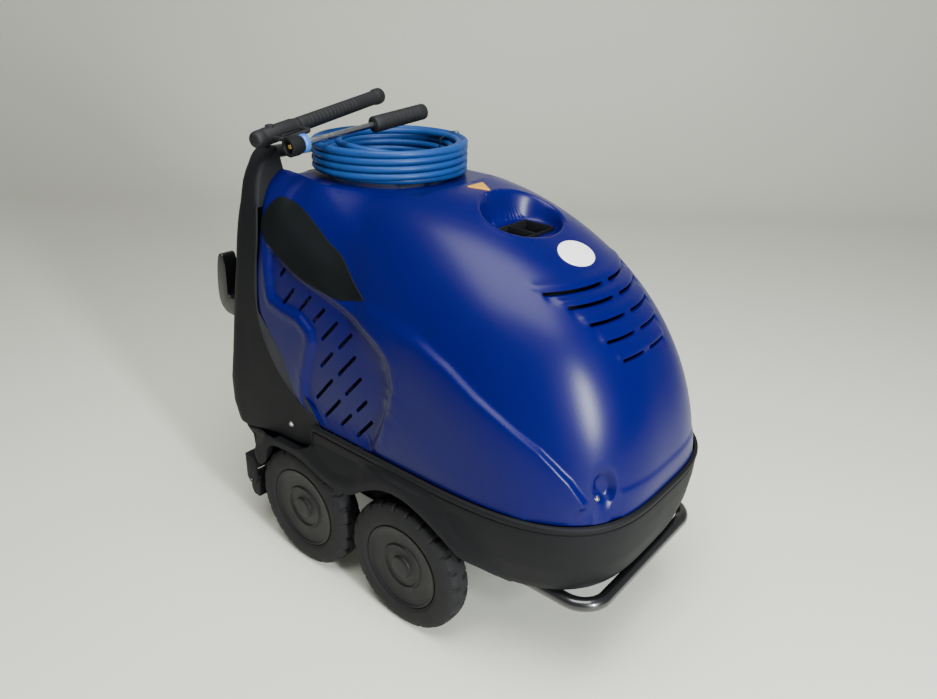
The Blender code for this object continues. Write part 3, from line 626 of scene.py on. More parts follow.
def tube(name: str, line: Sequence[Vector], radius: float, around: int = 6,
         radii: Sequence[float] | None = None) -> bpy.types.Object:
    """A round tube with closed ends, as a mesh.

    Args:
        name: the object's name.
        line: its centre line.
        radius: its radius.
        around: how fine it is round its section.
        radii: the share of the radius at each point, for one that tapers.

    Returns:
        The object.
    """
    select_only(round_curve(name, line, radius, around, radii))
    bpy.ops.object.convert(target="MESH")
    thing = bpy.context.object
    close_up(thing, 0.000005)
    return thing


def skin(name: str, rows: Sequence[Sequence[Point]], closed: bool = False,
         caps: bool = False) -> bpy.types.Object:
    """A quad skin through rows of points, for shapes that primitives can't give.

    Args:
        name: the object's name.
        rows: rows of equal length.
        closed: joins each row's ends.
        caps: fills the first and last rows.

    Returns:
        The object.
    """
    bm = bmesh.new()
    made = [[bm.verts.new(p) for p in row] for row in rows]
    for low, high in zip(made, made[1:]):
        count = len(low)
        for i in range(count if closed else count - 1):
            j = (i + 1) % count
            bm.faces.new([low[i], low[j], high[j], high[i]])
    if caps:
        bm.faces.new(made[0])
        bm.faces.new(made[-1])
    bmesh.ops.remove_doubles(bm, verts=bm.verts, dist=0.00001)
    bmesh.ops.recalc_face_normals(bm, faces=bm.faces)
    mesh = bpy.data.meshes.new(name)
    bm.to_mesh(mesh)
    bm.free()
    return put(name, mesh)


def curve_through(table: Outline, at: np.ndarray | float) -> np.ndarray | float:
    """Reads a value off a smooth line through a table.

    Args:
        table: (position, value) pairs, positions rising.
        at: the position or positions.

    Returns:
        The value or values there.
    """
    xs = np.array([a for a, _ in table])
    ys = np.array([b for _, b in table])
    slope = np.gradient(ys, xs)
    where = np.clip(np.asarray(at, float), xs[0], xs[-1])
    i = np.clip(np.searchsorted(xs, where, side="right") - 1, 0, len(xs) - 2)
    width = xs[i + 1] - xs[i]
    t = (where - xs[i]) / width
    a, b = ys[i], ys[i + 1]
    made = ((2 * t ** 3 - 3 * t ** 2 + 1) * a + (t ** 3 - 2 * t ** 2 + t) * width * slope[i]
            + (-2 * t ** 3 + 3 * t ** 2) * b + (t ** 3 - t ** 2) * width * slope[i + 1])
    return made if np.ndim(at) else float(made)


def smooth(share: np.ndarray | float) -> np.ndarray:
    """An ease from 0 to 1."""
    held = np.clip(share, 0.0, 1.0)
    return held * held * (3.0 - 2.0 * held)


def between(a: np.ndarray, b: np.ndarray, c: np.ndarray, d: np.ndarray, count: int
            ) -> list[tuple[float, float]]:
    """The middle stretch of a smooth line through four points.

    Args:
        a: the point before the stretch.
        b: where the stretch starts.
        c: where it ends.
        d: the point after it.
        count: how many points to give.

    Returns:
        Points from b on, without c.
    """
    made = []
    for t in (k / count for k in range(count)):
        spot = 0.5 * (2 * b + (c - a) * t + (2 * a - 5 * b + 4 * c - d) * t * t
                      + (3 * b - a - 3 * c + d) * t ** 3)
        made.append((float(spot[0]), float(spot[1])))
    return made


def rounded_loop(points: Outline, per_side: int = 8) -> list[tuple[float, float]]:
    """A smooth closed loop through points.

    Args:
        points: the points, in order.
        per_side: steps from one point to the next.

    Returns:
        The loop.
    """
    spots = [np.array(p, float) for p in points]
    return [made for i in range(len(spots)) for made in between(
        *(spots[(i + k) % len(spots)] for k in (-1, 0, 1, 2)), per_side)]


def rounded_open(points: Outline, per_side: int = 8) -> list[tuple[float, float]]:
    """A smooth open line through points.

    Args:
        points: the points, in order.
        per_side: steps from one point to the next.

    Returns:
        The line, both ends included.
    """
    spots = [np.array(p, float) for p in points]
    spots = [2 * spots[0] - spots[1]] + spots + [2 * spots[-1] - spots[-2]]
    line = [made for four in zip(spots, spots[1:], spots[2:], spots[3:])
            for made in between(*four, per_side)]
    return line + [tuple(map(float, points[-1]))]


def rounded_corners(corners: Outline, radius: float, steps: int = 6) -> list[tuple[float, float]]:
    """A polygon whose corners are arcs.

    Args:
        corners: the corners, in order.
        radius: the arcs' radius.
        steps: steps in each arc.

    Returns:
        The loop.
    """
    loop = []
    count = len(corners)
    for i in range(count):
        a, b, c = (Vector((*corners[(i + k) % count], 0)) for k in (-1, 0, 1))
        back, ahead = (a - b).normalized(), (c - b).normalized()
        half = back.angle(ahead) / 2.0
        centre = b + (back + ahead).normalized() * (radius / math.sin(half))
        first = b + back * (radius / math.tan(half)) - centre
        last = b + ahead * (radius / math.tan(half)) - centre
        for k in range(steps + 1):
            spot = centre + first.slerp(last, k / steps).normalized() * radius
            loop.append((spot.x, spot.y))
    return loop


def grooves(starts: Sequence[float], steps: Point, outer: float, inner: float
            ) -> tuple[tuple[float, float], ...]:
    """The part of a turned profile that has a run of equal grooves.

    Args:
        starts: where each groove starts.
        steps: from there to where its floor starts and ends, and to its end.
        outer: the radius between the grooves.
        inner: the radius at their floor.

    Returns:
        (distance along, radius) pairs.
    """
    radii = (outer, inner, inner, outer)
    return tuple((base + step, radius) for base in starts
                 for step, radius in zip((0.0, *steps), radii))


def to_line(spots: np.ndarray, line: Outline) -> tuple[np.ndarray, np.ndarray]:
    """Distance from points to a line of points in a plane.

    Args:
        spots: (count, 2) points.
        line: the line's points.

    Returns:
        The signed distance, positive on the left of the line's direction, and the nearest
        place along the line from 0 to 1.
    """
    corners = np.array(line, float)
    best = np.full(len(spots), 1e9)
    sign = np.ones(len(spots))
    share = np.zeros(len(spots))
    runs = len(corners) - 1
    for i, (a, b) in enumerate(zip(corners, corners[1:])):
        along = b - a
        t = np.clip(((spots - a) @ along) / (along @ along), 0.0, 1.0)
        off = spots - (a + t[:, None] * along)
        gap = np.hypot(off[:, 0], off[:, 1])
        side = np.where(along[0] * off[:, 1] - along[1] * off[:, 0] >= 0, 1.0, -1.0)
        nearer = gap < best
        best = np.where(nearer, gap, best)
        sign = np.where(nearer, side, sign)
        share = np.where(nearer, (i + t) / runs, share)
    return best * sign, share


def inside(spots: np.ndarray, loop: Outline) -> np.ndarray:
    """Distance from points to a closed loop.

    Args:
        spots: (count, 2) points.
        loop: the loop's points.

    Returns:
        The signed distances, positive inside.
    """
    corners = np.array(loop, float)
    ends = np.roll(corners, -1, axis=0)
    crossings = np.zeros(len(spots), int)
    for (ax, ay), (bx, by) in zip(corners, ends):
        if ay == by:
            continue
        spans = (spots[:, 1] >= min(ay, by)) & (spots[:, 1] < max(ay, by))
        crossings += spans & (ax + (spots[:, 1] - ay) * (bx - ax) / (by - ay) > spots[:, 0])
    gap, _ = to_line(spots, list(map(tuple, corners)) + [tuple(corners[0])])
    return np.where(crossings % 2 == 1, np.abs(gap), -np.abs(gap))


def make_screw(name: str, start: Vector, direction: Vector, node: str) -> None:
    """A pan-head screw with a cross recess, on a thin washer.

    Args:
        name: the piece's name.
        start: where it meets the surface.
        direction: the surface's outward normal.
        node: the CAD node it stands for.
    """
    head = lathe(name, mm((-2, 3), (0, 6.2), (0.8, 6.4), (1.2, 5), (3, 5), (4.2, 4.4), (5, 3)),
                 start, direction, 32)
    for turn in (0.3, 0.3 + math.pi / 2):
        arm = block("arm", (-0.0032, -0.0005, 0.0034), (0.0032, 0.0005, 0.006))
        arm.matrix_world = Matrix.Rotation(turn, 4, "Z")
        select_only(arm)
        bpy.ops.object.transform_apply(location=True, rotation=True, scale=True)
        aim(arm, start, direction)
        cut(head, arm)
    settle(head, BRIGHT_STEEL, "machine", node)


# ---------------------------------------------------------------- hood

@dataclass
class Hood:
    """The one-piece blue hood with its vents, dish and tray, and the trim on it."""

    rim_z: float = 0.394
    half_width: float = 0.305
    nose: float = 0.582
    top_rear: float = 0.92
    top_front: float = 0.905
    wall: float = 0.005
    straight: float = 0.4  # share of the path round the side that is the straight flank
    tray_floor: float = 0.891
    tray_half: float = 0.198
    tray_front: float = -0.058
    dish_y: float = -0.203
    dish_half: tuple[float, float] = (0.103, 0.078)
    flue_half: tuple[float, float] = (0.066, 0.036)
    across: int = 84
    up: int = 60
    slot_lean: tuple[float, float] = (-0.66, 0.75)
    seam: Outline = mm(
        (394, 94), (400, 95), (418, 135), (446, 181), (480, 220), (512, 244), (550, 264),
        (588, 277), (635, 283), (700, 280), (770, 271), (845, 278), (905, 296), (925, 302))
    # The sunk vent in each flank, as (y, z) corners.
    vent: Outline = mm(
        (159, 728), (130, 717), (99, 709), (71, 700), (24, 684), (-22, 665), (-50, 653), (-80, 639),
        (-102, 622), (-115, 603), (-126, 561), (-117, 515), (-105, 478), (-93, 444), (-72, 405),
        (-66, 360), (139, 360), (139, 461), (137, 491), (120, 541), (105, 586), (110, 612),
        (143, 635), (194, 642), (232, 652), (238, 680), (241, 720), (240, 764), (225, 763),
        (210, 754), (174, 736))
    bead: Outline = mm((252, 760), (250, 728), (244, 691), (241, 652))
    crease: Outline = mm(
        (3, 712), (-40, 705), (-91, 694), (-148, 682), (-193, 668), (-255, 640), (-313, 604),
        (-364, 575), (-405, 550), (-441, 528), (-468, 504), (-496, 476), (-514, 450), (-523, 436),
        (-529, 421))
    leaf_low: Outline = mm(
        (-34, 711), (23, 699), (62, 702), (99, 709), (140, 719), (174, 734), (210, 755), (243, 776),
        (262, 790), (269, 808))
    leaf_high: Outline = mm(
        (-34, 711), (11, 741), (54, 776), (94, 798), (130, 822), (169, 845), (209, 861), (237, 865),
        (255, 846), (265, 828), (269, 808))
    # Height and reach of each louvre row on the nose.
    louvres: Outline = mm((771, 142), (750, 122), (723, 106), (694, 93), (661, 78))
    # Middle (y, z) and length of each slot in the flank vents.
    slots: tuple[tuple[float, float, float], ...] = mm(
        (202, 716, 28), (183, 668, 57), (133, 664, 56), (91, 649, 52), (60, 623, 68), (14, 614, 56),
        (68, 557, 60), (8, 562, 78), (79, 485, 88), (-11, 522, 74), (54, 448, 78), (-36, 486, 48),
        (12, 436, 52), (-44, 436, 70))
    shell: bpy.types.Object | None = field(default=None, repr=False)

    def in_tray(self, x: np.ndarray, y: np.ndarray) -> np.ndarray:
        """Where places are in the hose tray.

        Args:
            x: places across.
            y: places along.

        Returns:
            0 in its middle, 1 at its edge, more outside.
        """
        reach = 0.13 - self.tray_front
        return ((x / self.tray_half) ** 4 + (np.maximum(0, 0.13 - y) / reach) ** 4) ** 0.25

    def in_dish(self, x: np.ndarray, y: np.ndarray) -> np.ndarray:
        """Where places are in the dish: 0 in its middle, 1 at its edge."""
        return np.hypot(x / self.dish_half[0], (y - self.dish_y) / self.dish_half[1])

    def surface(self, path: np.ndarray, level: np.ndarray) -> np.ndarray:
        """The plain outer surface of the +X half.

        Args:
            path: 0 at the rear seam, `straight` where the nose starts, 1 on the centre line.
            level: 0 at the rim, 1 on the crown.

        Returns:
            (count, 3) points.
        """
        def falloff(share: np.ndarray, power: np.ndarray | float) -> np.ndarray:
            """From 1 down to 0 along a superellipse."""
            return np.maximum(0.0, 1.0 - np.clip(share, 0, 1) ** power) ** (1.0 / power)

        to_rear = smooth(1.0 - path / self.straight)
        top = self.top_front + (self.top_rear - self.top_front) * smooth(1.3 - 1.3 * path)
        z = self.rim_z + (top - self.rim_z) * level
        half = self.half_width * falloff(level, 2.75 + 2.25 * to_rear)
        nose = -self.nose * falloff(level, 2.1)
        bend = -0.15 + 0.21 * level
        rear = curve_through(self.seam, z) - 0.0008
        flank = path < self.straight
        y = rear + (bend - rear) * path / self.straight
        half = np.where(flank, half * (1.0 - 0.02 * ((y - bend) / 0.44) ** 2), half)
        turn = np.clip((path - self.straight) / (1.0 - self.straight), 0, 1) * math.pi / 2.0
        plan = 3.3 - 1.1 * np.sqrt(level)
        y = np.where(flank, y, bend - (bend - nose) * np.sin(turn) ** (2.0 / plan))
        x = np.where(flank, half, half * np.cos(turn) ** (2.0 / plan))
        x[path >= 1.0] = 0.0
        spots = np.stack([x, y, z], 1)
        share = smooth((1.0 - self.in_tray(x, y)) / 0.07)
        spots[:, 2] = np.where(z > self.tray_floor, z + (self.tray_floor - z) * share, z)
        spots[:, 2] -= 0.012 * smooth(1 - np.abs(y + 0.285) / 0.17) * smooth(1 - x / 0.2) * (
            z > 0.7)
        return spots

    def relief(self, spots: np.ndarray) -> np.ndarray:
        """How far the moulded features stand out from the plain surface.

        Args:
            spots: (count, 3) points on the plain surface.

        Returns:
            The distances, negative where a feature sinks in.
        """
        x, y, z = spots.T
        flat = spots[:, 1:]
        side = smooth((x - 0.14) / 0.06)
        out = np.zeros(len(x))
        depth = inside(flat, self.vent)
        off_seam = smooth((curve_through(self.seam, z) - y - 0.005) / 0.032)
        off_rim = smooth((z - 0.3955) / 0.018)
        out -= 0.0095 * smooth((depth + 0.002) / 0.012) * side * off_seam * off_rim
        out += 0.003 * np.exp(-((depth + 0.011) / 0.009) ** 2) * side * off_rim
        gap, _ = to_line(flat, self.bead)
        out += 0.0016 * np.exp(-(gap / 0.0032) ** 2) * side
        gap, share = to_line(flat, self.crease)
        width = 0.034 - 0.026 * smooth(share / 0.7)
        ends = smooth(share / 0.12) * smooth((1.0 - share) / 0.06) * smooth((x - 0.17) / 0.03)
        proud = smooth(0.5 + gap / width) * (1.0 - smooth(gap / 0.14))
        out += 0.0095 * proud * ends
        gap, share = to_line(flat, self.leaf_high[:8])
        ends = smooth(share / 0.35) * smooth((1.0 - share) / 0.22)
        hollow = np.where(gap > 0, 1.0 - smooth(gap / 0.05), 1.0 - smooth(-gap / 0.06))
        out -= 0.0085 * hollow * ends * side
        front = smooth((-0.2 - y) / 0.05)
        for height, reach in self.louvres:
            off = (z - height - 0.01) / 0.0065
            wide = smooth((reach + 0.014 - x) / 0.014)
            out += 0.003 * np.exp(-off * off) * front * wide
            off = (z - height + 0.004) / 0.005
            out -= 0.0024 * np.exp(-off * off) * front * smooth((reach + 0.004 - x) / 0.01)
        away = ((x - 0.178) / 0.021) ** 2 + ((z - 0.46) / 0.032) ** 2
        out -= 0.014 * smooth((1.0 - away) / 0.75) * smooth((-0.4 - y) / 0.05)
        nose = smooth((0.16 - x) / 0.014) * smooth((-0.4 - y) / 0.05)
        out += 0.0028 * smooth((0.4455 - z) / 0.004 + 0.5) * nose
        small = smooth((0.02 - np.abs(x - 0.193)) / 0.006) * smooth((-0.4 - y) / 0.05)
        out += 0.0022 * smooth((0.411 - z) / 0.003 + 0.5) * small
        return out

    def dish(self, spots: np.ndarray) -> None:
        """Sinks the dish with its nearly level floor round the flue.

        Args:
            spots: (count, 3) points, moved in place.
        """
        x, y, z = spots.T
        away = self.in_dish(x, y)
        floor = 0.8275 + 0.1 * (y - self.dish_y)
        share = smooth((1.0 - away) / 0.22)
        sunk = np.where((z > 0.7) & (z > floor), (z - floor) * share, 0.0)
        spots[:, 2] -= sunk
        spots[:, 2] += 0.0012 * np.exp(-((away - 1.03) / 0.04) ** 2) * (z > 0.7)

    def nearness(self, spots: np.ndarray) -> np.ndarray:
        """How near fine features are, which says where the mesh is made denser.

        Args:
            spots: (count, 3) points on the plain surface.

        Returns:
            The distances.
        """
        x, y, z = spots.T
        flat = spots[:, 1:]
        far = np.full(len(x), 1.0)
        on_side = np.where(x > 0.14, 0.0, 0.2)
        near = np.minimum(far, np.abs(inside(flat, self.vent)) + on_side)
        for line in (self.bead, self.crease[4:], self.leaf_high):
            near = np.minimum(near, np.abs(to_line(flat, line)[0]) + on_side)
        behind = np.where(y < -0.2, 0.0, 0.2)
        for height, reach in self.louvres:
            near = np.minimum(near, np.abs(z - height - 0.003) + behind
                              + np.maximum(0, x - reach - 0.012))
        away = self.in_dish(x, y)
        near = np.minimum(near, np.abs(away - 0.92) * 0.09 + np.where(z > 0.7, 0, 0.2))
        seam_gap = np.abs(curve_through(self.seam, z) - y) + np.where(z < 0.56, 0.0, 0.2)
        near = np.minimum(near, seam_gap + on_side)
        low = np.where(y < -0.4, 0.0, 0.2)
        near = np.minimum(near, np.abs(z - 0.4455) + low + np.maximum(0, x - 0.17))
        near = np.minimum(near, np.hypot(x - 0.183, z - 0.452) * 0.5 + low)
        edge = np.abs(self.in_tray(x, y) - 0.97) * 0.19
        return np.minimum(near, edge + np.where(z > 0.87, 0.004, 0.2))

    def make_shell(self) -> bpy.types.Object:
        """Models the hood's shell, still without its openings.

        Returns:
            The shell.
        """
        clear_selection()
        bpy.ops.mesh.primitive_grid_add(x_subdivisions=self.across, y_subdivisions=self.up,
                                        size=1.0, location=(0, 0, 0))
        shell = bpy.context.object
        shell.name = "hood_shell"
        select_only(shell)
        bpy.context.tool_settings.mesh_select_mode = (False, False, True)

        def places(flat: np.ndarray) -> np.ndarray:
            """Where points of the flat grid lie on the plain surface.

            Args:
                flat: (count, 3) points of the grid.

            Returns:
                (count, 3) points.
            """
            path = np.clip(flat[:, 0] + 0.5, 0, 1)
            level = np.sin(math.pi / 2.0 * np.clip(flat[:, 1] + 0.5, 0, 1)) ** 0.85
            return self.surface(path, level)

        for reach in (0.022, 0.0085):
            mesh = shell.data
            middles = np.empty(len(mesh.polygons) * 3)
            mesh.polygons.foreach_get("center", middles)
            near = self.nearness(places(middles.reshape(-1, 3)))
            mesh.vertices.foreach_set("select", [False] * len(mesh.vertices))
            mesh.edges.foreach_set("select", [False] * len(mesh.edges))
            mesh.polygons.foreach_set("select", list(near < reach))
            bpy.ops.object.mode_set(mode="EDIT")
            bpy.ops.mesh.subdivide(number_cuts=1, ngon=False, quadcorner="INNERVERT")
            bpy.ops.object.mode_set(mode="OBJECT")
        mesh = shell.data
        flat = np.empty(len(mesh.vertices) * 3)
        mesh.vertices.foreach_get("co", flat)
        flat = flat.reshape(-1, 3)
        spots = places(flat)
        mesh.vertices.foreach_set("co", spots.ravel())
        mesh.update()
        normals = np.empty(len(mesh.vertices) * 3)
        mesh.vertices.foreach_get("normal", normals)
        normals = normals.reshape(-1, 3)
        middle = np.array([0.0, -0.1, 0.45])
        if np.mean(np.sum(normals * (spots - middle), axis=1)) < 0:
            normals = -normals
        on_centre = spots[:, 0] < 1e-5
        normals[on_centre, 0] = 0.0
        normals /= np.maximum(np.linalg.norm(normals, axis=1), 1e-9)[:, None]
        out = self.relief(spots)
        level = np.clip(flat[:, 1] + 0.5, 0, 1)
        at_seam = np.clip(flat[:, 0] + 0.5, 0, 1) * 1.05
        out -= 0.0022 * (1.0 - smooth(at_seam / 0.009)) * (level < 0.97)
        out -= 0.0015 * (1.0 - smooth(level / 0.01))
        spots += normals * out[:, None]
        self.dish(spots)
        spots[on_centre, 0] = 0.0
        mesh.vertices.foreach_set("co", spots.ravel())
        mesh.update()
        mirror_half(shell, 0.00008)
        bpy.ops.object.mode_set(mode="EDIT")
        bpy.ops.mesh.select_mode(type="VERT")
        bpy.ops.mesh.select_all(action="DESELECT")
        bpy.ops.mesh.select_non_manifold()
        bpy.ops.mesh.select_all(action="INVERT")
        bpy.ops.mesh.vertices_smooth(factor=0.5, repeat=2)
        bpy.ops.object.mode_set(mode="OBJECT")
        thick = shell.modifiers.new("wall", "SOLIDIFY")
        thick.thickness = self.wall
        thick.offset = -1.0
        apply_modifiers(shell)
        return shell

    def openings(self) -> bpy.types.Object:
        """Models one cutter for every slot, every louvre and the flue's hole.

        Returns:
            The cutter.
        """
        def stadium(middle: tuple[float, float], along: tuple[float, float], length: float,
                    half: float) -> Outline:
            """A straight slot with round ends.

            Args:
                middle: its middle.
                along: the way it runs.
                length: its length, ends included.
                half: half its width.

            Returns:
                Its outline.
            """
            size = math.hypot(*along)
            u = (along[0] / size, along[1] / size)
            loop = []
            for end, first in ((1, -90), (-1, 90)):
                for i in range(7):
                    a = math.radians(first + 180 * i / 6)
                    across, ahead = half * math.sin(a), half * math.cos(a)
                    ahead += end * (length / 2 - half)
                    loop.append((middle[0] + u[0] * ahead - u[1] * across,
                                 middle[1] + u[1] * ahead + u[0] * across))
            return loop

        cutters = []
        for side in Side:
            for y, z, length in self.slots:
                loop = stadium((y, z), self.slot_lean, length, 0.0042)
                low, high = sorted((side.value * 0.2, side.value * 0.36))
                cutters.append(slab("slot", loop, "X", low, high))
            for height, reach in self.louvres:
                start = 0.0105
                middle = side.value * (start + reach) / 2.0
                loop = stadium((middle, height), (1.0, 0.0), reach - start, 0.0038)
                cutters.append(slab("louvre", loop, "Y", -0.62, -0.2))
        hx, hy = self.flue_half
        cutters.append(block("flue", (-hx, self.dish_y - hy, 0.76), (hx, self.dish_y + hy, 0.95)))
        return join(cutters, "hood_cutter")

    def drop(self, x: float, y: float) -> tuple[Vector, Vector]:
        """The hood's surface and normal straight under a point."""
        _, spot, normal, _ = self.shell.ray_cast(Vector((x, y, 1.2)), Vector((0, 0, -1)))
        return spot, normal

    def make_leaf(self, side: Side) -> None:
        """Makes the dark leaf-shaped insert in one flank, a plate that follows the hood.

        Args:
            side: the flank.
        """
        def even(line: Outline, count: int) -> np.ndarray:
            """Spreads points evenly on a smooth line.

            Args:
                line: the line's own points.
                count: how many to spread.

            Returns:
                (count, 2) points.
            """
            corners = np.array(rounded_open(line), float)
            run = np.concatenate([[0], np.cumsum(np.hypot(*np.diff(corners, axis=0).T))])
            at = np.linspace(0, run[-1], count)
            return np.stack([np.interp(at, run, corners[:, k]) for k in (0, 1)], 1)

        low, high = even(self.leaf_low, 72), even(self.leaf_high, 72)
        steps = [0.0, 0.012, 0.03, 0.06, 0.12, 0.2, 0.3, 0.4, 0.5, 0.6, 0.7, 0.8, 0.88, 0.94, 0.97,
                 0.988, 1.0]
        rows = []
        for i, (a, b) in enumerate(zip(low, high)):
            row = []
            wide = np.hypot(*(b - a))
            for share in steps:
                y, z = a + (b - a) * share
                start = Vector((side.value * 0.6, y, z))
                _, spot, normal, _ = self.shell.ray_cast(start, Vector((-side.value, 0, 0)))
                edge = min(share, 1 - share) * wide
                edge = min(edge, min(i, 71 - i) * 0.0035)
                rise = 0.0019 * math.sqrt(max(0.0, 1 - (1 - min(edge / 0.0025, 1.0)) ** 2)) - 0.0002
                row.append(tuple(spot + normal * rise))
            rows.append(row)
        plate = skin(f"leaf_insert_{side.word}", rows)
        probe = plate.data.polygons[len(plate.data.polygons) // 2].normal
        if probe.x * side.value < 0:
            plate.data.flip_normals()
        thick = plate.modifiers.new("wall", "SOLIDIFY")
        thick.thickness = 0.0035
        thick.offset = -1.0
        apply_modifiers(plate)
        settle(plate, INSERT_BLACK, "machine", f"side_insert_{side.word}")

    def make_plate(self, name: str, loop: Outline, centre_y: float, finish: Finish,
                   node: str) -> None:
        """Makes a thin domed plate with a rounded edge on the crown.

        Args:
            name: the piece's name.
            loop: its outline, round its own middle.
            centre_y: where that middle is.
            finish: its finish.
            node: the CAD node it stands for.
        """
        rows = []
        for share, rise in (
            (1.0, -0.0004), (1.0, 0.0008), (0.985, 0.0015), (0.955, 0.0019), (0.9, 0.0019),
            (0.75, 0.0019), (0.6, 0.0019), (0.45, 0.0019), (0.3, 0.0019), (0.15, 0.0019),
            (0.0, 0.0019)):
            row = []
            for u, v in loop:
                spot, normal = self.drop(u * share, centre_y + v * share)
                row.append(tuple(spot + normal * rise))
            rows.append(row)
        under = [[tuple(Vector(p) - Vector((0, 0, 0.003))) for p in row] for row in
                 (rows[-1], rows[0])]
        plate = skin(name, under + rows, closed=True)
        settle(plate, finish, "machine", node, angle=50.0)

    def make_screws(self) -> None:
        """Recessed cross-head screws that hold the hood down."""
        for side in Side:
            start = Vector((side.value * 0.192, -0.6, 0.441))
            _, spot, normal, _ = self.shell.ray_cast(start, Vector((0, 1, 0)))
            make_screw(f"hood_screw_head_{side.word}", spot - normal * 0.0005, normal,
                       f"hood_screw_{side.word}")

    def make_flue(self) -> None:
        """The flue's rectangular duct: a lipped frame with a divider over the grille."""
        hx, hy = self.flue_half[0] - 0.0006, self.flue_half[1] - 0.0006
        parts = []
        top = 0.8325
        bars = [
            ((-hx, -hy), (hx, -hy + 0.003)), ((-hx, hy - 0.003), (hx, hy)),
            ((-hx, -hy + 0.003), (-hx + 0.003, hy - 0.003)),
            ((hx - 0.003, -hy + 0.003), (hx, hy - 0.003)),
            ((-0.0015, -hy + 0.003), (0.0015, hy - 0.003))]
        for (ax, ay), (bx, by) in bars:
            parts.append(block("flue_wall", (ax, self.dish_y + ay, 0.801),
                               (bx, self.dish_y + by, top + 0.03 * (ay + by)), 0.0008, 2))
        for row in range(1, 7):
            y = self.dish_y - hy + row * 2 * hy / 7
            loop = [(y - 0.0012, 0.803), (y + 0.003, 0.812), (y + 0.0042, 0.812),
                    (y + 0.0004, 0.803)]
            parts.append(slab("flue_vane", loop, "X", -hx + 0.002, hx - 0.002, 0.0004, 1))
        settle(join(parts, "flue_frame"), TUB_BLACK, "machine", "flue_grille")

    def build(self) -> None:
        """Builds the hood and its trim."""
        self.shell = self.make_shell()
        LOG.info("hood before openings: %d faces", len(self.shell.data.polygons))
        cut(self.shell, self.openings())
        for side in Side:
            self.make_leaf(side)
        oval = [(0.047 * math.cos(a), 0.032 * math.sin(a))
                for a in (2 * math.pi * i / 64 for i in range(64))]
        self.make_plate("oval_badge", oval, -0.334, BADGE_FILM, "blank_badge")
        triangle = rounded_corners(mm((-27, 13), (0, -29), (27, 13)), 0.0025)
        self.make_plate("triangle_label", triangle, -0.092, YELLOW_FILM, "blank_yellow_label")
        self.make_screws()
        self.make_flue()
        settle(self.shell, HOOD_BLUE, "machine", "hood", angle=38.0)


# ---------------------------------------------------------------- tub base

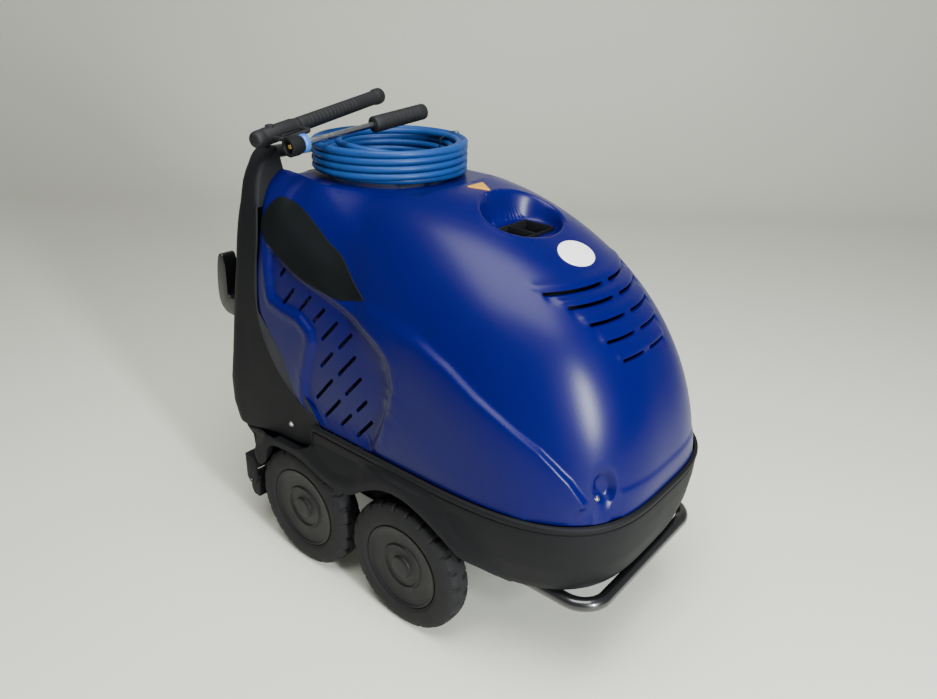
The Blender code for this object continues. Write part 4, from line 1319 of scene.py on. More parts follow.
@dataclass
class Tub:
    """The black tub under the hood: rolled rim, groove, flared wheel openings and lipped edges."""

    half_width: float = 0.305
    nose: float = 0.582
    fender: float = 0.3275
    wall: float = 0.0055
    bottom: float = 0.219
    corner: float = 0.05
    # Outward reach at each height, and where the rear face stands at each height.
    reach: Outline = mm(
        (219, -30), (225, -20), (245, -10), (290, 1), (340, 7), (372, 8.2), (375.5, 7.8),
        (377.8, 5), (380, 7.8), (382.5, 9.8), (389, 10), (392.5, 8), (393.7, 5))
    rear: Outline = mm((219, 345), (225, 352), (245, 368), (290, 400), (340, 424), (394, 432))
    arch: Outline = mm(
        (-430, 219), (-400, 235), (-368, 252), (-325, 269), (-278, 298), (-225, 324), (-171, 339),
        (-114, 332), (-69, 309), (-25, 281), (26, 270), (75, 277), (124, 295), (194, 300),
        (261, 283), (305, 240), (345, 219))
    # The line under the rear housing's lower lobe.
    lobe: Outline = mm(
        (94.5, 392), (95, 362), (98, 350), (105, 340), (114, 333), (130, 325), (156, 318),
        (246, 313.5), (300, 303), (353, 291))

    def top_at(self, y: float) -> float:
        """The height of the tub's upper edge at a place along the side."""
        return 0.3937 if y < 0.0943 else float(np.interp(y, *zip(*self.lobe))) - 0.0006

    def edge_at(self, y: float) -> float:
        """The height of the tub's lower edge.

        Args:
            y: the place along the side.

        Returns:
            The height.
        """
        if y <= self.arch[0][0] or y >= self.arch[-1][0]:
            return self.bottom
        return max(self.bottom, float(curve_through(self.arch, y)))

    def ceiling_at(self, y: float) -> float:
        """The roof of the wheel well.

        Args:
            y: the place along the side.

        Returns:
            Its height.
        """
        high = self.edge_at(y) + 0.004
        for middle, radius in ((-0.158, 0.19), (0.158, 0.162)):
            if abs(y - middle) < radius:
                high = max(high, 0.15 + math.sqrt(radius ** 2 - (y - middle) ** 2))
        return min(high, self.top_at(y) - 0.01)

    def flare(self, y: float, z: float, above: float) -> tuple[float, float]:
        """How the wheels' flare fades with height.

        Args:
            y: the place along the side.
            z: the height.
            above: how far over the lower edge it starts to fade.

        Returns:
            What is left of it so far over the edge, and what is left under the rim.
        """
        start = self.edge_at(y) + above
        near = math.exp(-((start - z) / 0.034) ** 2) if z > start else 1.0
        return near, 1.0 - float(smooth((z - 0.362) / 0.01))

    def outer(self, column: tuple[str, float], z: float) -> tuple[float, float]:
        """The outer face in plan.

        Args:
            column: which stretch of the plan, and the place in it.
            z: the height.

        Returns:
            x and y.
        """
        kind, at = column
        out = float(np.interp(z, *zip(*self.reach)))
        side = self.half_width + out
        rear = float(curve_through(self.rear, z))
        if kind == "rear":
            return at * (side - self.corner), rear
        if kind == "corner":
            a = math.pi / 2 * at
            return (side - self.corner + self.corner * math.sin(a),
                    rear - self.corner + self.corner * math.cos(a))
        if kind == "side":
            y = rear - self.corner + (-0.15 - rear + self.corner) * at
            near, lip = self.flare(y, z, 0.012)
            ends = float(smooth((y + 0.4) / 0.09)) * float(smooth((0.345 - y) / 0.04))
            side += max(0.0, self.fender - side) * near * ends * lip
            return side, y
        a = math.pi / 2 * at
        y = -0.15 - (self.nose + out - 0.15) * math.sin(a) ** (2 / 3.3)
        x = side * math.cos(a) ** (2 / 3.3) if at < 1 else 0.0
        near, lip = self.flare(y, z, 0.01)
        ends = float(smooth((y + 0.42) / 0.12))
        return x + max(0.0, self.fender - side) * near * ends * lip * (x / side), y

    def profile(self, column: tuple[str, float]) -> list[Point]:
        """One closed section from the floor's centre line, over the rim, to the underside.

        Args:
            column: which stretch of the plan, and the place in it.

        Returns:
            The section's points.
        """
        _, y_mid = self.outer(column, 0.3)
        on_side = column[0] in ("side", "nose") and -0.43 < y_mid < 0.345
        top = self.top_at(y_mid) if column[0] != "rear" else self.lobe[-1][1] - 0.0006
        if column[0] == "corner":
            top = self.lobe[-1][1] - 0.0006 if y_mid > 0.353 else self.top_at(y_mid)
        low = self.edge_at(y_mid) if on_side else self.bottom
        if top > 0.39:
            heights = [*np.linspace(low + 0.0015, 0.366, 18), *(h for h, _ in self.reach[5:-1]),
                       0.3931]
        else:
            heights = [h for h, _ in self.reach if low + 0.004 < h < top - 0.002]
            heights += [low + (top - low) * (k / 16) for k in range(1, 16)]
            heights = sorted(set(heights) | {low + 0.0035, low + 0.0015})
        outer_z = np.interp(np.linspace(0, 1, 30), np.linspace(0, 1, len(heights)), heights)
        well = self.ceiling_at(y_mid) if on_side else low + 0.0005
        inner_x = 0.24 if on_side else 0.0

        def at_depth(z: float, depth: float, height: float | None = None,
                     to_x: float | None = None) -> Point:
            """A point inside the outer face.

            Args:
                z: the height at which the outer face is taken.
                depth: how far inside it.
                height: the point's own height, if another.
                to_x: the farthest from the centre line it may be.

            Returns:
                The point.
            """
            x, y = self.outer(column, z)
            centre = (0.0, min(max(y * 0.7, -0.3), 0.22))
            if column[0] == "side":
                centre = (0.0, y)
            size = math.hypot(x - centre[0], y - centre[1])
            share = 1.0 - depth / size
            if to_x is not None:
                share = min(share, to_x / max(x, 1e-6))
            share = max(share, 0.0)
            return (centre[0] + (x - centre[0]) * share, centre[1] + (y - centre[1]) * share,
                    z if height is None else height)

        floor = self.bottom + self.wall
        wall_low = min(top - 0.008, well + self.wall + 0.001) if on_side else floor + 0.004
        if on_side:
            to_x = inner_x - self.wall
            rows = [at_depth(0.3, 1e3, floor, 0.0), at_depth(0.3, 0.02, floor, 0.12),
                    at_depth(0.3, 0.02, floor, to_x), at_depth(0.3, 0.02, wall_low, to_x)]
        else:
            rows = [self.centre_of(column, floor), self.toward(column, 0.225, 0.5, floor),
                    self.toward(column, 0.225, 0.9, floor),
                    at_depth(0.24, self.wall * 1.6, floor + 0.002)]
        rows += [at_depth(min(wall_low + 0.002, top - 0.004), self.wall),
                 at_depth(top - 0.002, self.wall), at_depth(top - 0.0004, self.wall * 0.75, top),
                 at_depth(top - 0.0004, self.wall * 0.3, top)]
        rows += [at_depth(z, 0.0) for z in outer_z[::-1]]
        lip, roof = low + 0.0015, max(well, low + 0.002)
        rows += [at_depth(lip, 0.0012, low), at_depth(lip, 0.004, low)]
        if on_side:
            rows += [at_depth(lip, self.wall, lip), at_depth(lip, self.wall, roof),
                     at_depth(0.3, 0.02, roof, inner_x),
                     at_depth(0.3, 0.02, self.bottom, inner_x),
                     at_depth(0.3, 0.02, self.bottom, 0.12),
                     at_depth(0.3, 1e3, self.bottom, 0.0)]
        else:
            rows += [at_depth(lip, 0.012, self.bottom), at_depth(lip, 0.02, self.bottom)]
            rows += [self.toward(column, 0.2205, share, self.bottom) for share in (0.8, 0.6, 0.3)]
            rows.append(self.centre_of(column, self.bottom))
        return rows

    def centre_of(self, column: tuple[str, float], z: float) -> Point:
        """The centre-line end of a section."""
        _, y = self.outer(column, 0.3)
        return 0.0, (y if column[0] == "side" else min(max(y * 0.7, -0.3), 0.22)), z

    def toward(self, column: tuple[str, float], z: float, share: float, height: float) -> Point:
        """A point part of the way from the centre line to the outer face.

        Args:
            column: which stretch of the plan, and the place in it.
            z: the height at which the outer face is taken.
            share: the part of the way.
            height: the point's height.

        Returns:
            The point.
        """
        x, y = self.outer(column, z)
        _, cy, _ = self.centre_of(column, z)
        return x * share, cy + (y - cy) * share, height

    def build(self) -> None:
        """Builds the tub."""
        columns = [("rear", k / 8) for k in range(8)] + [("corner", k / 10) for k in range(10)]
        columns += [("side", k / 110) for k in range(110)]
        columns += [("nose", (k / 76) ** 1.15) for k in range(77)]
        shell = skin("tub", [self.profile(c) for c in columns])
        for vertex in shell.data.vertices:
            if vertex.co.x < 1e-5:
                vertex.co.x = 0.0
        mirror_half(shell, 0.00005)
        settle(shell, TUB_BLACK, "machine", "base_shell", angle=38.0)


# ---------------------------------------------------------------- rear housing

@dataclass
class Housing:
    """The rear housing with its side lobes, posts, handle, hooks and shelf."""

    tub: Tub
    hood: Hood
    wall: float = 0.005
    corner: float = 0.05
    shelf: float = 0.845
    top: float = 0.965
    post_inner: float = 0.19
    rear: Outline = mm(
        (285, 420), (318, 432), (340, 440), (400, 440), (475, 423), (600, 398), (700, 378),
        (845, 364), (890, 372), (960, 374))

    def half_at(self, z: float) -> float:
        """Half the housing's width at a height."""
        share = max(0.0, (z - 0.394) / (self.top - 0.394))
        return 0.3045 * max(0.0, 1 - min(share, 1) ** 5) ** 0.2

    def rear_at(self, z: float) -> float:
        """How far back the housing reaches at a height."""
        return float(np.interp(z, *zip(*self.rear)))

    def front_at(self, z: float) -> float:
        """Where the housing meets the hood."""
        return max(0.0947, float(curve_through(self.hood.seam, z))) + 0.0006

    def row(self, top_share: float, inset: float, shift: float = 0.0) -> list[Point]:
        """One ring from the seam to the rear centre line.

        Args:
            top_share: 0 at the lower edge, 1 at the shelf.
            inset: how far inside the outer face.
            shift: how far back its front end stands.

        Returns:
            The ring's points.
        """
        ring = []
        z_top = self.shelf
        for s in (k / 26 for k in range(27)):
            y_guess = 0.095 + (0.36 - 0.095) * s
            low = self.tub.top_at(max(y_guess, 0.0949)) + 0.0012
            z = low + (z_top - low) * top_share
            front, rear = self.front_at(z) + shift, self.rear_at(z) - inset
            low = self.tub.top_at(max(front + (rear - self.corner - front) * s, 0.0949)) + 0.0012
            z = low + (z_top - low) * top_share
            front, rear = self.front_at(z) + shift, self.rear_at(z) - inset
            y = front + (rear - self.corner - front) * s
            ring.append((self.half_at(z) - inset, y, z))
        low = self.tub.lobe[-1][1] + 0.0006
        z = low + (z_top - low) * top_share
        side, rear = self.half_at(z) - inset, self.rear_at(z) - inset
        r = self.corner - inset
        for k in range(1, 11):
            a = math.pi / 2 * k / 10
            ring.append((side - r + r * math.cos(a), rear - r + r * math.sin(a), z))
        for k in range(1, 9):
            ring.append(((side - r) * (1 - k / 8), rear, z))
        return ring

    def make_shell(self) -> bpy.types.Object:
        """The housing's wall: outer face, rolled edges and inner face.

        Returns:
            The wall.
        """
        shares = [0.0, 0.003, 0.008] + list(0.012 + 0.988 * np.linspace(0, 1, 76) ** 1.4)
        outside, within = [], []
        for share in shares:
            edge = 0.0022 * (1 - min(1.0, share / 0.008)) ** 2
            ring = self.row(share, edge)
            x, y, z = ring[0]
            ring = [(x - 0.0022, y, z), (x - 0.0006, y + 0.0006, z)] + [
                (a, max(b, y + 0.002) if i == 0 else b, c) for i, (a, b, c) in enumerate(ring)]
            outside.append(ring)
            inner = self.row(share, self.wall)
            x, y, z = inner[0]
            inner = [(x + 0.0008, y, z), (x, y, z)] + inner
            within.append(inner)
        shell = skin("housing_wall", outside + within[::-1] + [outside[0]])
        bm = bmesh.new()
        bm.from_mesh(shell.data)
        bmesh.ops.holes_fill(bm, edges=[e for e in bm.edges if e.is_boundary
                                        and max(v.co.x for v in e.verts) > 0.001], sides=0)
        bm.to_mesh(shell.data)
        bm.free()
        for vertex in shell.data.vertices:
            if abs(vertex.co.x) < 1e-5:
                vertex.co.x = 0.0
        mirror_half(shell, 0.00003)
        return shell

    def make_post(self, side: Side) -> bpy.types.Object:
        """A post that holds the handle: rounded outside, hollow on the inner side.

        Args:
            side: its side.

        Returns:
            The post.
        """
        rows = []
        tops = [
            (self.shelf - 0.006, 0.0), (0.86, 0.0), (0.88, 0.0), (0.9, 0.0), (0.915, 0.0003),
            (0.928, 0.001), (0.936, 0.0025), (0.942, 0.0048), (0.947, 0.0085), (0.9505, 0.013),
            (0.9515, 0.017)]
        for z, shrink in tops:
            out = self.half_at(z) - shrink * 0.8
            front, rear = self.front_at(z) + shrink, self.rear_at(z) - shrink
            inner = self.post_inner + 0.0004 + shrink * 0.35
            out = max(out, inner + 0.01)
            r = min(self.corner, (rear - front) * 0.75, (out - inner) * 0.8)
            loop = []
            for cx, cy, first, radius in (
                (out - r, rear - r, 0, r), (inner + 0.003, rear - 0.003, 1, 0.003),
                (inner + 0.003, front + 0.003, 2, 0.003), (out - 0.01, front + 0.01, 3, 0.01)):
                for k in range(7):
                    a = math.pi / 2 * (first + k / 6)
                    loop.append((side.value * (cx + radius * math.cos(a)),
                                 cy + radius * math.sin(a), z))
            rows.append(loop)
        post = skin(f"post_{side.word}", rows, closed=True, caps=True)
        low, high = sorted((side.value * (self.post_inner - 0.02), side.value * 0.218))
        pocket = rounded_corners(mm((306, 856), (352, 856), (352, 934), (312, 934)),
                                 0.006)
        cut(post, slab("pocket", pocket, "X", low, high))
        bevel(post, 0.0012, 2, 50.0)
        return post

    def make_shelf(self) -> list[bpy.types.Object]:
        """The shelf behind the coil and its sloped front that carries the two caps.

        Returns:
            The slope and the shelf.
        """
        half = self.post_inner + 0.02
        slope = slab("shelf_slope", mm(
            (290.5, 841), (296, 866), (300, 882), (303, 881.6), (360, 847), (360, 841)),
            "X", -half, half, 0.0015, 2)
        plate = []
        side, rear = self.half_at(self.shelf) - 0.003, self.rear_at(self.shelf) - 0.003
        for k in range(9):
            a = math.pi / 2 * k / 8
            plate.append((side - 0.047 + 0.047 * math.cos(a), rear - 0.047 + 0.047 * math.sin(a)))
        plate += [(-x, y) for x, y in plate[::-1]]
        plate += [(-side, 0.282), (side, 0.282)]
        return [slope, slab("shelf_plate", plate, "Z", self.shelf - 0.006, self.shelf, 0.0008, 2)]

    def make_handle(self) -> None:
        """The push handle: a gloss tube between the posts with two collars."""
        line = [Vector((x, 0.3553, 0.93)) for x in (-0.1898, -0.06, 0.06, 0.1898)]
        bar = tube("push_bar", line, 0.015, 10)
        collars = [lathe("collar", mm(
            (0, 15.8), (0.6, 16), (11, 16),
            (12.5, 15.2)), (s * 0.1898, 0.3553, 0.93), (-s, 0, 0), 40)
                   for s in (-1, 1)]
        settle(join([bar, *collars], "push_bar"), GLOSS_TUBE, "machine", "push_handle")

    def make_hook(self, side: Side) -> None:
        """A paddle hook for the power cable.

        Args:
            side: its side.
        """
        x = side.value * 0.252
        outline = rounded_loop(mm(
            (0, 552), (0, 572), (0, 594), (14, 595), (27, 596), (33, 612), (32.5, 650), (34, 682),
            (41, 696), (53, 693), (61, 672), (67, 640), (69.5, 600), (64, 570), (44, 553),
            (20, 550)), 5)
        base = self.rear_at(0.56) + 0.0006
        loop = [(base + max(0.0, y), z) for y, z in outline]
        hook = slab(f"cable_hook_{side.word}", loop, "X", x - 0.018, x + 0.018, 0.004, 4)
        settle(hook, HOOK_BLACK, "machine", f"cable_hook_{side.word}")

    def make_lobe_screw(self, side: Side) -> None:
        """The screw in the housing's lower lobe."""
        make_screw(f"housing_screw_head_{side.word}", Vector((side.value * 0.3048, 0.187, 0.362)),
                   Vector((side.value, 0, 0)), f"housing_screw_{side.word}")

    def build(self) -> None:
        """Builds the housing and what is fixed to it."""
        parts = [self.make_shell(), *self.make_shelf()]
        parts += [self.make_post(side) for side in Side]
        settle(join(parts, "rear_housing_shell"), TUB_BLACK, "machine", "rear_housing", angle=38.0)
        self.make_handle()
        for side in Side:
            self.make_hook(side)
            self.make_lobe_screw(side)


# ---------------------------------------------------------------- wheels, frame and brake

@dataclass
class Wheel:
    """A solid-tyred wheel: staggered shoulder blocks round a disc hub with a raised ring."""

    body: str
    label: str
    centre: Point
    side: Side
    radius: float = 0.15
    width: float = 0.064
    blocks: int = 24

    def place(self, angle: float, radius: float, along: float) -> Point:
        """A point round the wheel; `along` is counted outwards from the inner face."""
        x = self.side.value * (0.319 - self.width + along)
        return (x, self.centre[1] + radius * math.cos(angle), 0.15 + radius * math.sin(angle))

    def make_tyre(self) -> None:
        """The tyre: blocks with slanted grooves on each shoulder and a plain centre rib."""
        around = self.blocks * 8
        profile = [
            (0.006, 0.0983, 0.0), (0.001, 0.106, 0.0), (0.0, 0.116, 0.0), (0.001, 0.128, 0.15),
            (0.004, 0.1385, 0.8), (0.009, 0.1455, 1.0), (0.015, 0.1485, 1.0), (0.021, 0.1497, 1.0),
            (0.026, 0.15, 0.7), (0.0285, 0.15, 0.0), (0.032, 0.15, 0.0),
            (0.0355, 0.15, 0.0), (0.038, 0.15, 0.7), (0.043, 0.1497, 1.0), (0.049, 0.1485, 1.0),
            (0.055, 0.1455, 1.0), (0.06, 0.1385, 0.8), (0.063, 0.128, 0.15), (0.064, 0.116, 0.0),
            (0.063, 0.106, 0.0), (0.058, 0.0983, 0.0)]
        rows = []
        for step in range(around):
            row = []
            for along, radius, tread in profile:
                outer = along > self.width / 2
                slant = (along - 0.032) * (9.0 if outer else -9.0)
                phase = (step / 8 + (0.5 if outer else 0.0) + slant * 0.25) % 1.0
                groove = 1.0 if phase < 0.17 else 0.0
                row.append(self.place(2 * math.pi * step / around, radius - 0.0052 * tread * groove,
                                      along))
            rows.append(row)
        tyre = skin(f"tyre_{self.label}", [list(r) for r in zip(*rows)] + [[r[0] for r in rows]],
                    closed=True)
        settle(tyre, TYRE_RUBBER, self.body, f"tyre_{self.label}", angle=26.0)

    def make_hub(self) -> None:
        """The hub: a dished disc with a raised ring and a domed cap."""
        x = self.side.value * (0.319 - self.width)
        profile = mm(
            (48, 10.3), (2, 10.3), (2, 26), (14, 34), (14, 88), (8, 97.5), (56.5, 97.5), (59, 96.5),
            (60, 94.5), (59.5, 92.5), (57.2, 90.5), (56, 88), (54.8, 80), (53.8, 70), (53.2, 57),
            (53.4, 54.5), (55.6, 53), (57.2, 51.5), (57.5, 50), (57, 48.5), (55, 47), (53.8, 45.5),
            (53.6, 40), (54, 30), (55.2, 26.5), (59, 24.5), (60.2, 22.5), (60.6, 18), (60.7, 10),
            (60.7, 0.2))
        hub = lathe(f"hub_{self.label}", profile, (x, self.centre[1], 0.15),
                    (self.side.value, 0, 0), 72)
        settle(hub, HUB_BLACK, self.body, f"hub_{self.label}")

    def build(self) -> None:
        """Builds the wheel."""
        self.make_tyre()
        self.make_hub()


@dataclass
class Chassis:
    """The bumper tube with its cross beams, and the parking brake."""

    rail_x: float = 0.215
    rail_z: float = 0.2035
    rail_r: float = 0.0145
    front_y: float = -0.5625
    rear_end: float = 0.3
    bend: float = 0.056

    def make_frame(self) -> None:
        """The bent bumper tube and the beams over the axles."""
        corners = [
            (-self.rail_x, self.rear_end, self.rail_z), (-self.rail_x, self.front_y, self.rail_z),
            (self.rail_x, self.front_y, self.rail_z), (self.rail_x, self.rear_end, self.rail_z)]
        parts = [tube("bumper_tube", bent_line(corners, self.bend, 16), self.rail_r, 12)]
        for y in (-0.158, 0.158):
            parts.append(block("beam", (-0.235, y - 0.02, 0.1603), (0.235, y + 0.02, 0.193),
                               0.002, 2))
        settle(join(parts, "bumper_tube"), GLOSS_TUBE, "machine", "bumper_frame")

    def make_brake(self) -> None:
        """A bracket with two cheeks, and the foot lever between them."""
        plate = mm((324, 218.5), (324, 152), (334, 138), (352, 138), (362, 152), (362, 218.5))
        bracket = slab("brake_bracket_body", plate, "X", -0.32, -0.262)
        cut(bracket, block("slot", (-0.313, 0.3, 0.12), (-0.269, 0.39, 0.186)))
        bore = lathe("bore", [(0, 0.0041), (0.08, 0.0041)], (-0.33, 0.343, 0.15), (1, 0, 0), 32)
        cut(bracket, bore)
        bevel(bracket, 0.0012, 2)
        settle(bracket, TUB_BLACK, "machine", "brake_bracket")
        foot = rounded_corners(mm(
            (324, 162), (328, 100), (350, 100), (358, 112), (360, 150), (354, 162)), 0.003, 4)
        lever = slab("brake_pedal", foot, "X", -0.3125, -0.2695, 0.0012, 2)
        cut(lever, lathe("bore", [(0, 0.0042), (0.08, 0.0042)], (-0.33, 0.343, 0.15), (1, 0, 0),
                         32))
        settle(lever, TUB_BLACK, "brake", "brake_lever")

    def build(self) -> None:
        """Builds the frame and the brake."""
        self.make_frame()
        self.make_brake()


# ---------------------------------------------------------------- hose

@dataclass
class Hose:
    """The high-pressure hose wound in the tray, with its fittings, red cap and tie."""

    centre_y: float = 0.163
    diameter: float = 0.015
    columns: tuple[float, float, float] = (0.135, 0.15, 0.165)
    low: float = 0.903
    pitch: float = 0.0155
    step: float = 10.0

    def at(self, degrees: float, radius: float, z: float) -> Vector:
        """A point on the coil, in the part's frame."""
        a = math.radians(degrees)
        return Vector((radius * math.cos(a), self.centre_y + SHIFT_Y + radius * math.sin(a), z))

    def route(self) -> list[Vector]:
        """The hose's centre line: out of its fitting, up, down and up again, then to the gun end.

        Returns:
            The line's points, in the part's frame.
        """
        first = Vector((0.0018, 0.0997 + SHIFT_Y, 0.9075))
        line = [first]
        inner, middle, outer = self.columns
        start = -89.0
        angle = start + 12.0
        while angle <= start + 150.0:
            share = (angle - start) / 150.0
            ease = float(smooth(share))
            line.append(self.at(angle, 0.0633 + (inner - 0.0633) * ease,
                                0.9075 + (self.low - 0.9075) * ease))
            angle += self.step
        z, turn = self.low, self.step / 360.0
        shift = 60.0

        def wind(angle: float, radius: float, z: float, goal: float, sign: float
                 ) -> tuple[float, float]:
            """Winds turns up or down one column.

            Args:
                angle: where they start, in degrees.
                radius: the column's radius.
                z: the height they start at.
                goal: the height they end at.
                sign: 1 for up, -1 for down.

            Returns:
                The angle and the height they end at.
            """
            while sign * (goal - z) > 1e-6:
                z = z + sign * min(self.pitch * turn, abs(goal - z))
                line.append(self.at(angle, radius, z))
                angle += self.step
            return angle, z

        def change(angle: float, old: float, new: float, z: float) -> float:
            """Leads the hose from one column to the next.

            Args:
                angle: where it starts, in degrees.
                old: the radius it leaves.
                new: the radius it joins.
                z: the height.

            Returns:
                The angle it ends at.
            """
            for k in range(1, int(shift / self.step) + 1):
                ease = float(smooth(k * self.step / shift))
                line.append(self.at(angle, old + (new - old) * ease, z))
                angle += self.step
            return angle

        upper = self.low + self.pitch * 2.68
        angle, z = wind(angle, inner, z, upper, 1)
        angle = change(angle, inner, middle, z)
        angle, z = wind(angle, middle, z, self.low, -1)
        angle = change(angle, middle, outer, z)
        high = self.low + self.pitch * 3.68
        angle, z = wind(angle, outer, z, high, 1)
        last = -60.0
        while last < angle + 500.0:
            last += 360.0
        inwards, sink = 300.0, 260.0
        turn_in = last - inwards - 155.0
        while angle < turn_in - 1e-6:
            line.append(self.at(angle, outer, high))
            angle += self.step
        begin = angle
        while angle < last:
            gone = angle - begin
            ease = float(smooth(gone / inwards))
            radius = outer - (outer - 0.113) * ease
            drop = float(smooth(max(0.0, gone - inwards) / sink))
            line.append(self.at(angle, radius - 0.0474 * drop, high - 0.0525 * drop))
            angle += self.step
        here = line[-1]
        along = (line[-1] - line[-2]).normalized()
        goal = Vector((0.04, 0.215 + SHIFT_Y, 0.9075))
        back = Vector((-1.0, 0.05, 0.0)).normalized()
        reach = (goal - here).length * 1.25
        for k in range(1, 15):
            t = k / 14
            spot = ((2 * t ** 3 - 3 * t ** 2 + 1) * here
                    + (t ** 3 - 2 * t ** 2 + t) * reach * along
                    + (-2 * t ** 3 + 3 * t ** 2) * goal + (t ** 3 - t ** 2) * reach * back)
            line.append(spot)
        return line

    def fitting(self, name: str, start: Vector, direction: Vector, node: str) -> bpy.types.Object:
        """A crimped steel end: a ribbed sleeve and a hexagon nut.

        Args:
            name: the piece's name.
            start: where the sleeve starts.
            direction: the way it points.
            node: the CAD node it stands for.

        Returns:
            The piece.
        """
        sleeve = [(0.0, 0.008), (0.0008, 0.0085), *grooves(
            [0.002 + k * 0.0034 for k in range(5)], (0.0005, 0.0016, 0.0021), 0.0085, 0.0079),
            (0.02, 0.0085), (0.021, 0.0072), (0.0225, 0.0072), (0.0225, 0.004)]
        body = lathe("sleeve", sleeve, start, direction, 40)
        nut = lathe("nut", mm(
            (22, 5), (22, 10.5), (23.5, 11.4), (35.5, 11.4), (37, 10.5), (37.2, 8.8), (45, 8.8),
            (46.8, 8), (46.8, 5)), start, direction, 6)
        whole = join([body, nut], name)
        return settle(whole, BRIGHT_STEEL, "machine", node, angle=28.0)

    def tie(self, degrees: float) -> bpy.types.Object:
        """A ratchet tie round the coil's turns.

        Args:
            degrees: where it is round the coil.

        Returns:
            The tie.
        """
        a = math.radians(degrees)
        out = Vector((math.cos(a), math.sin(a), 0))
        loop = mm((125.5, 894.9), (174.5, 894.9), (174.5, 969), (156, 969), (125.5, 954))
        points = rounded_corners(loop, 0.007, 5)
        rows = []
        for width, lift in mm((-2.4, 0), (-2.4, 1.2), (2.4, 1.2), (2.4, 0), (-2.4, 0)):
            row = []
            for i, (r, z) in enumerate(points):
                before, after = points[i - 1], points[(i + 1) % len(points)]
                along = Vector((after[0] - before[0], after[1] - before[1])).normalized()
                rr, zz = r + along.y * lift, z - along.x * lift
                spot = out * rr + Vector((-out.y, out.x, 0)) * width
                row.append((spot.x, spot.y + self.centre_y, zz))
            rows.append(row)
        return skin("hose_tie", rows, closed=True)

    def build(self) -> None:
        line = self.route()
        hose = round_curve("hose", line, self.diameter / 2, 5)
        hose.data.materials.append(HOSE_COVER.material("hose_finish"))
        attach(hose, "machine")
        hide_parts("hose_coil")
        self.fitting("hose_end_machine_fitting", Vector((-0.045, 0.095, 0.9075)),
                     Vector((1.0, 0.1, 0.0)), "hose_end_machine")
        second = Vector((0.04, 0.215, 0.9075))
        way = Vector((-1.0, 0.05, 0.0)).normalized()
        gun_end = self.fitting("hose_end_gun_fitting", second, way, "hose_end_gun")
        cap = lathe("red_cap", mm(
            (0, 9.8), (0, 12), (1.2, 12.5), (15, 12.5), (17.8, 11.8), (19.5, 9.5), (20, 6)),
            second + way * 0.0475, way, 40)
        settle(cap, SIGNAL_RED, "machine", "red_end_cap")
        tie = settle(self.tie(-20.0), GRIP_RUBBER, "machine")


# ---------------------------------------------------------------- controls and connections

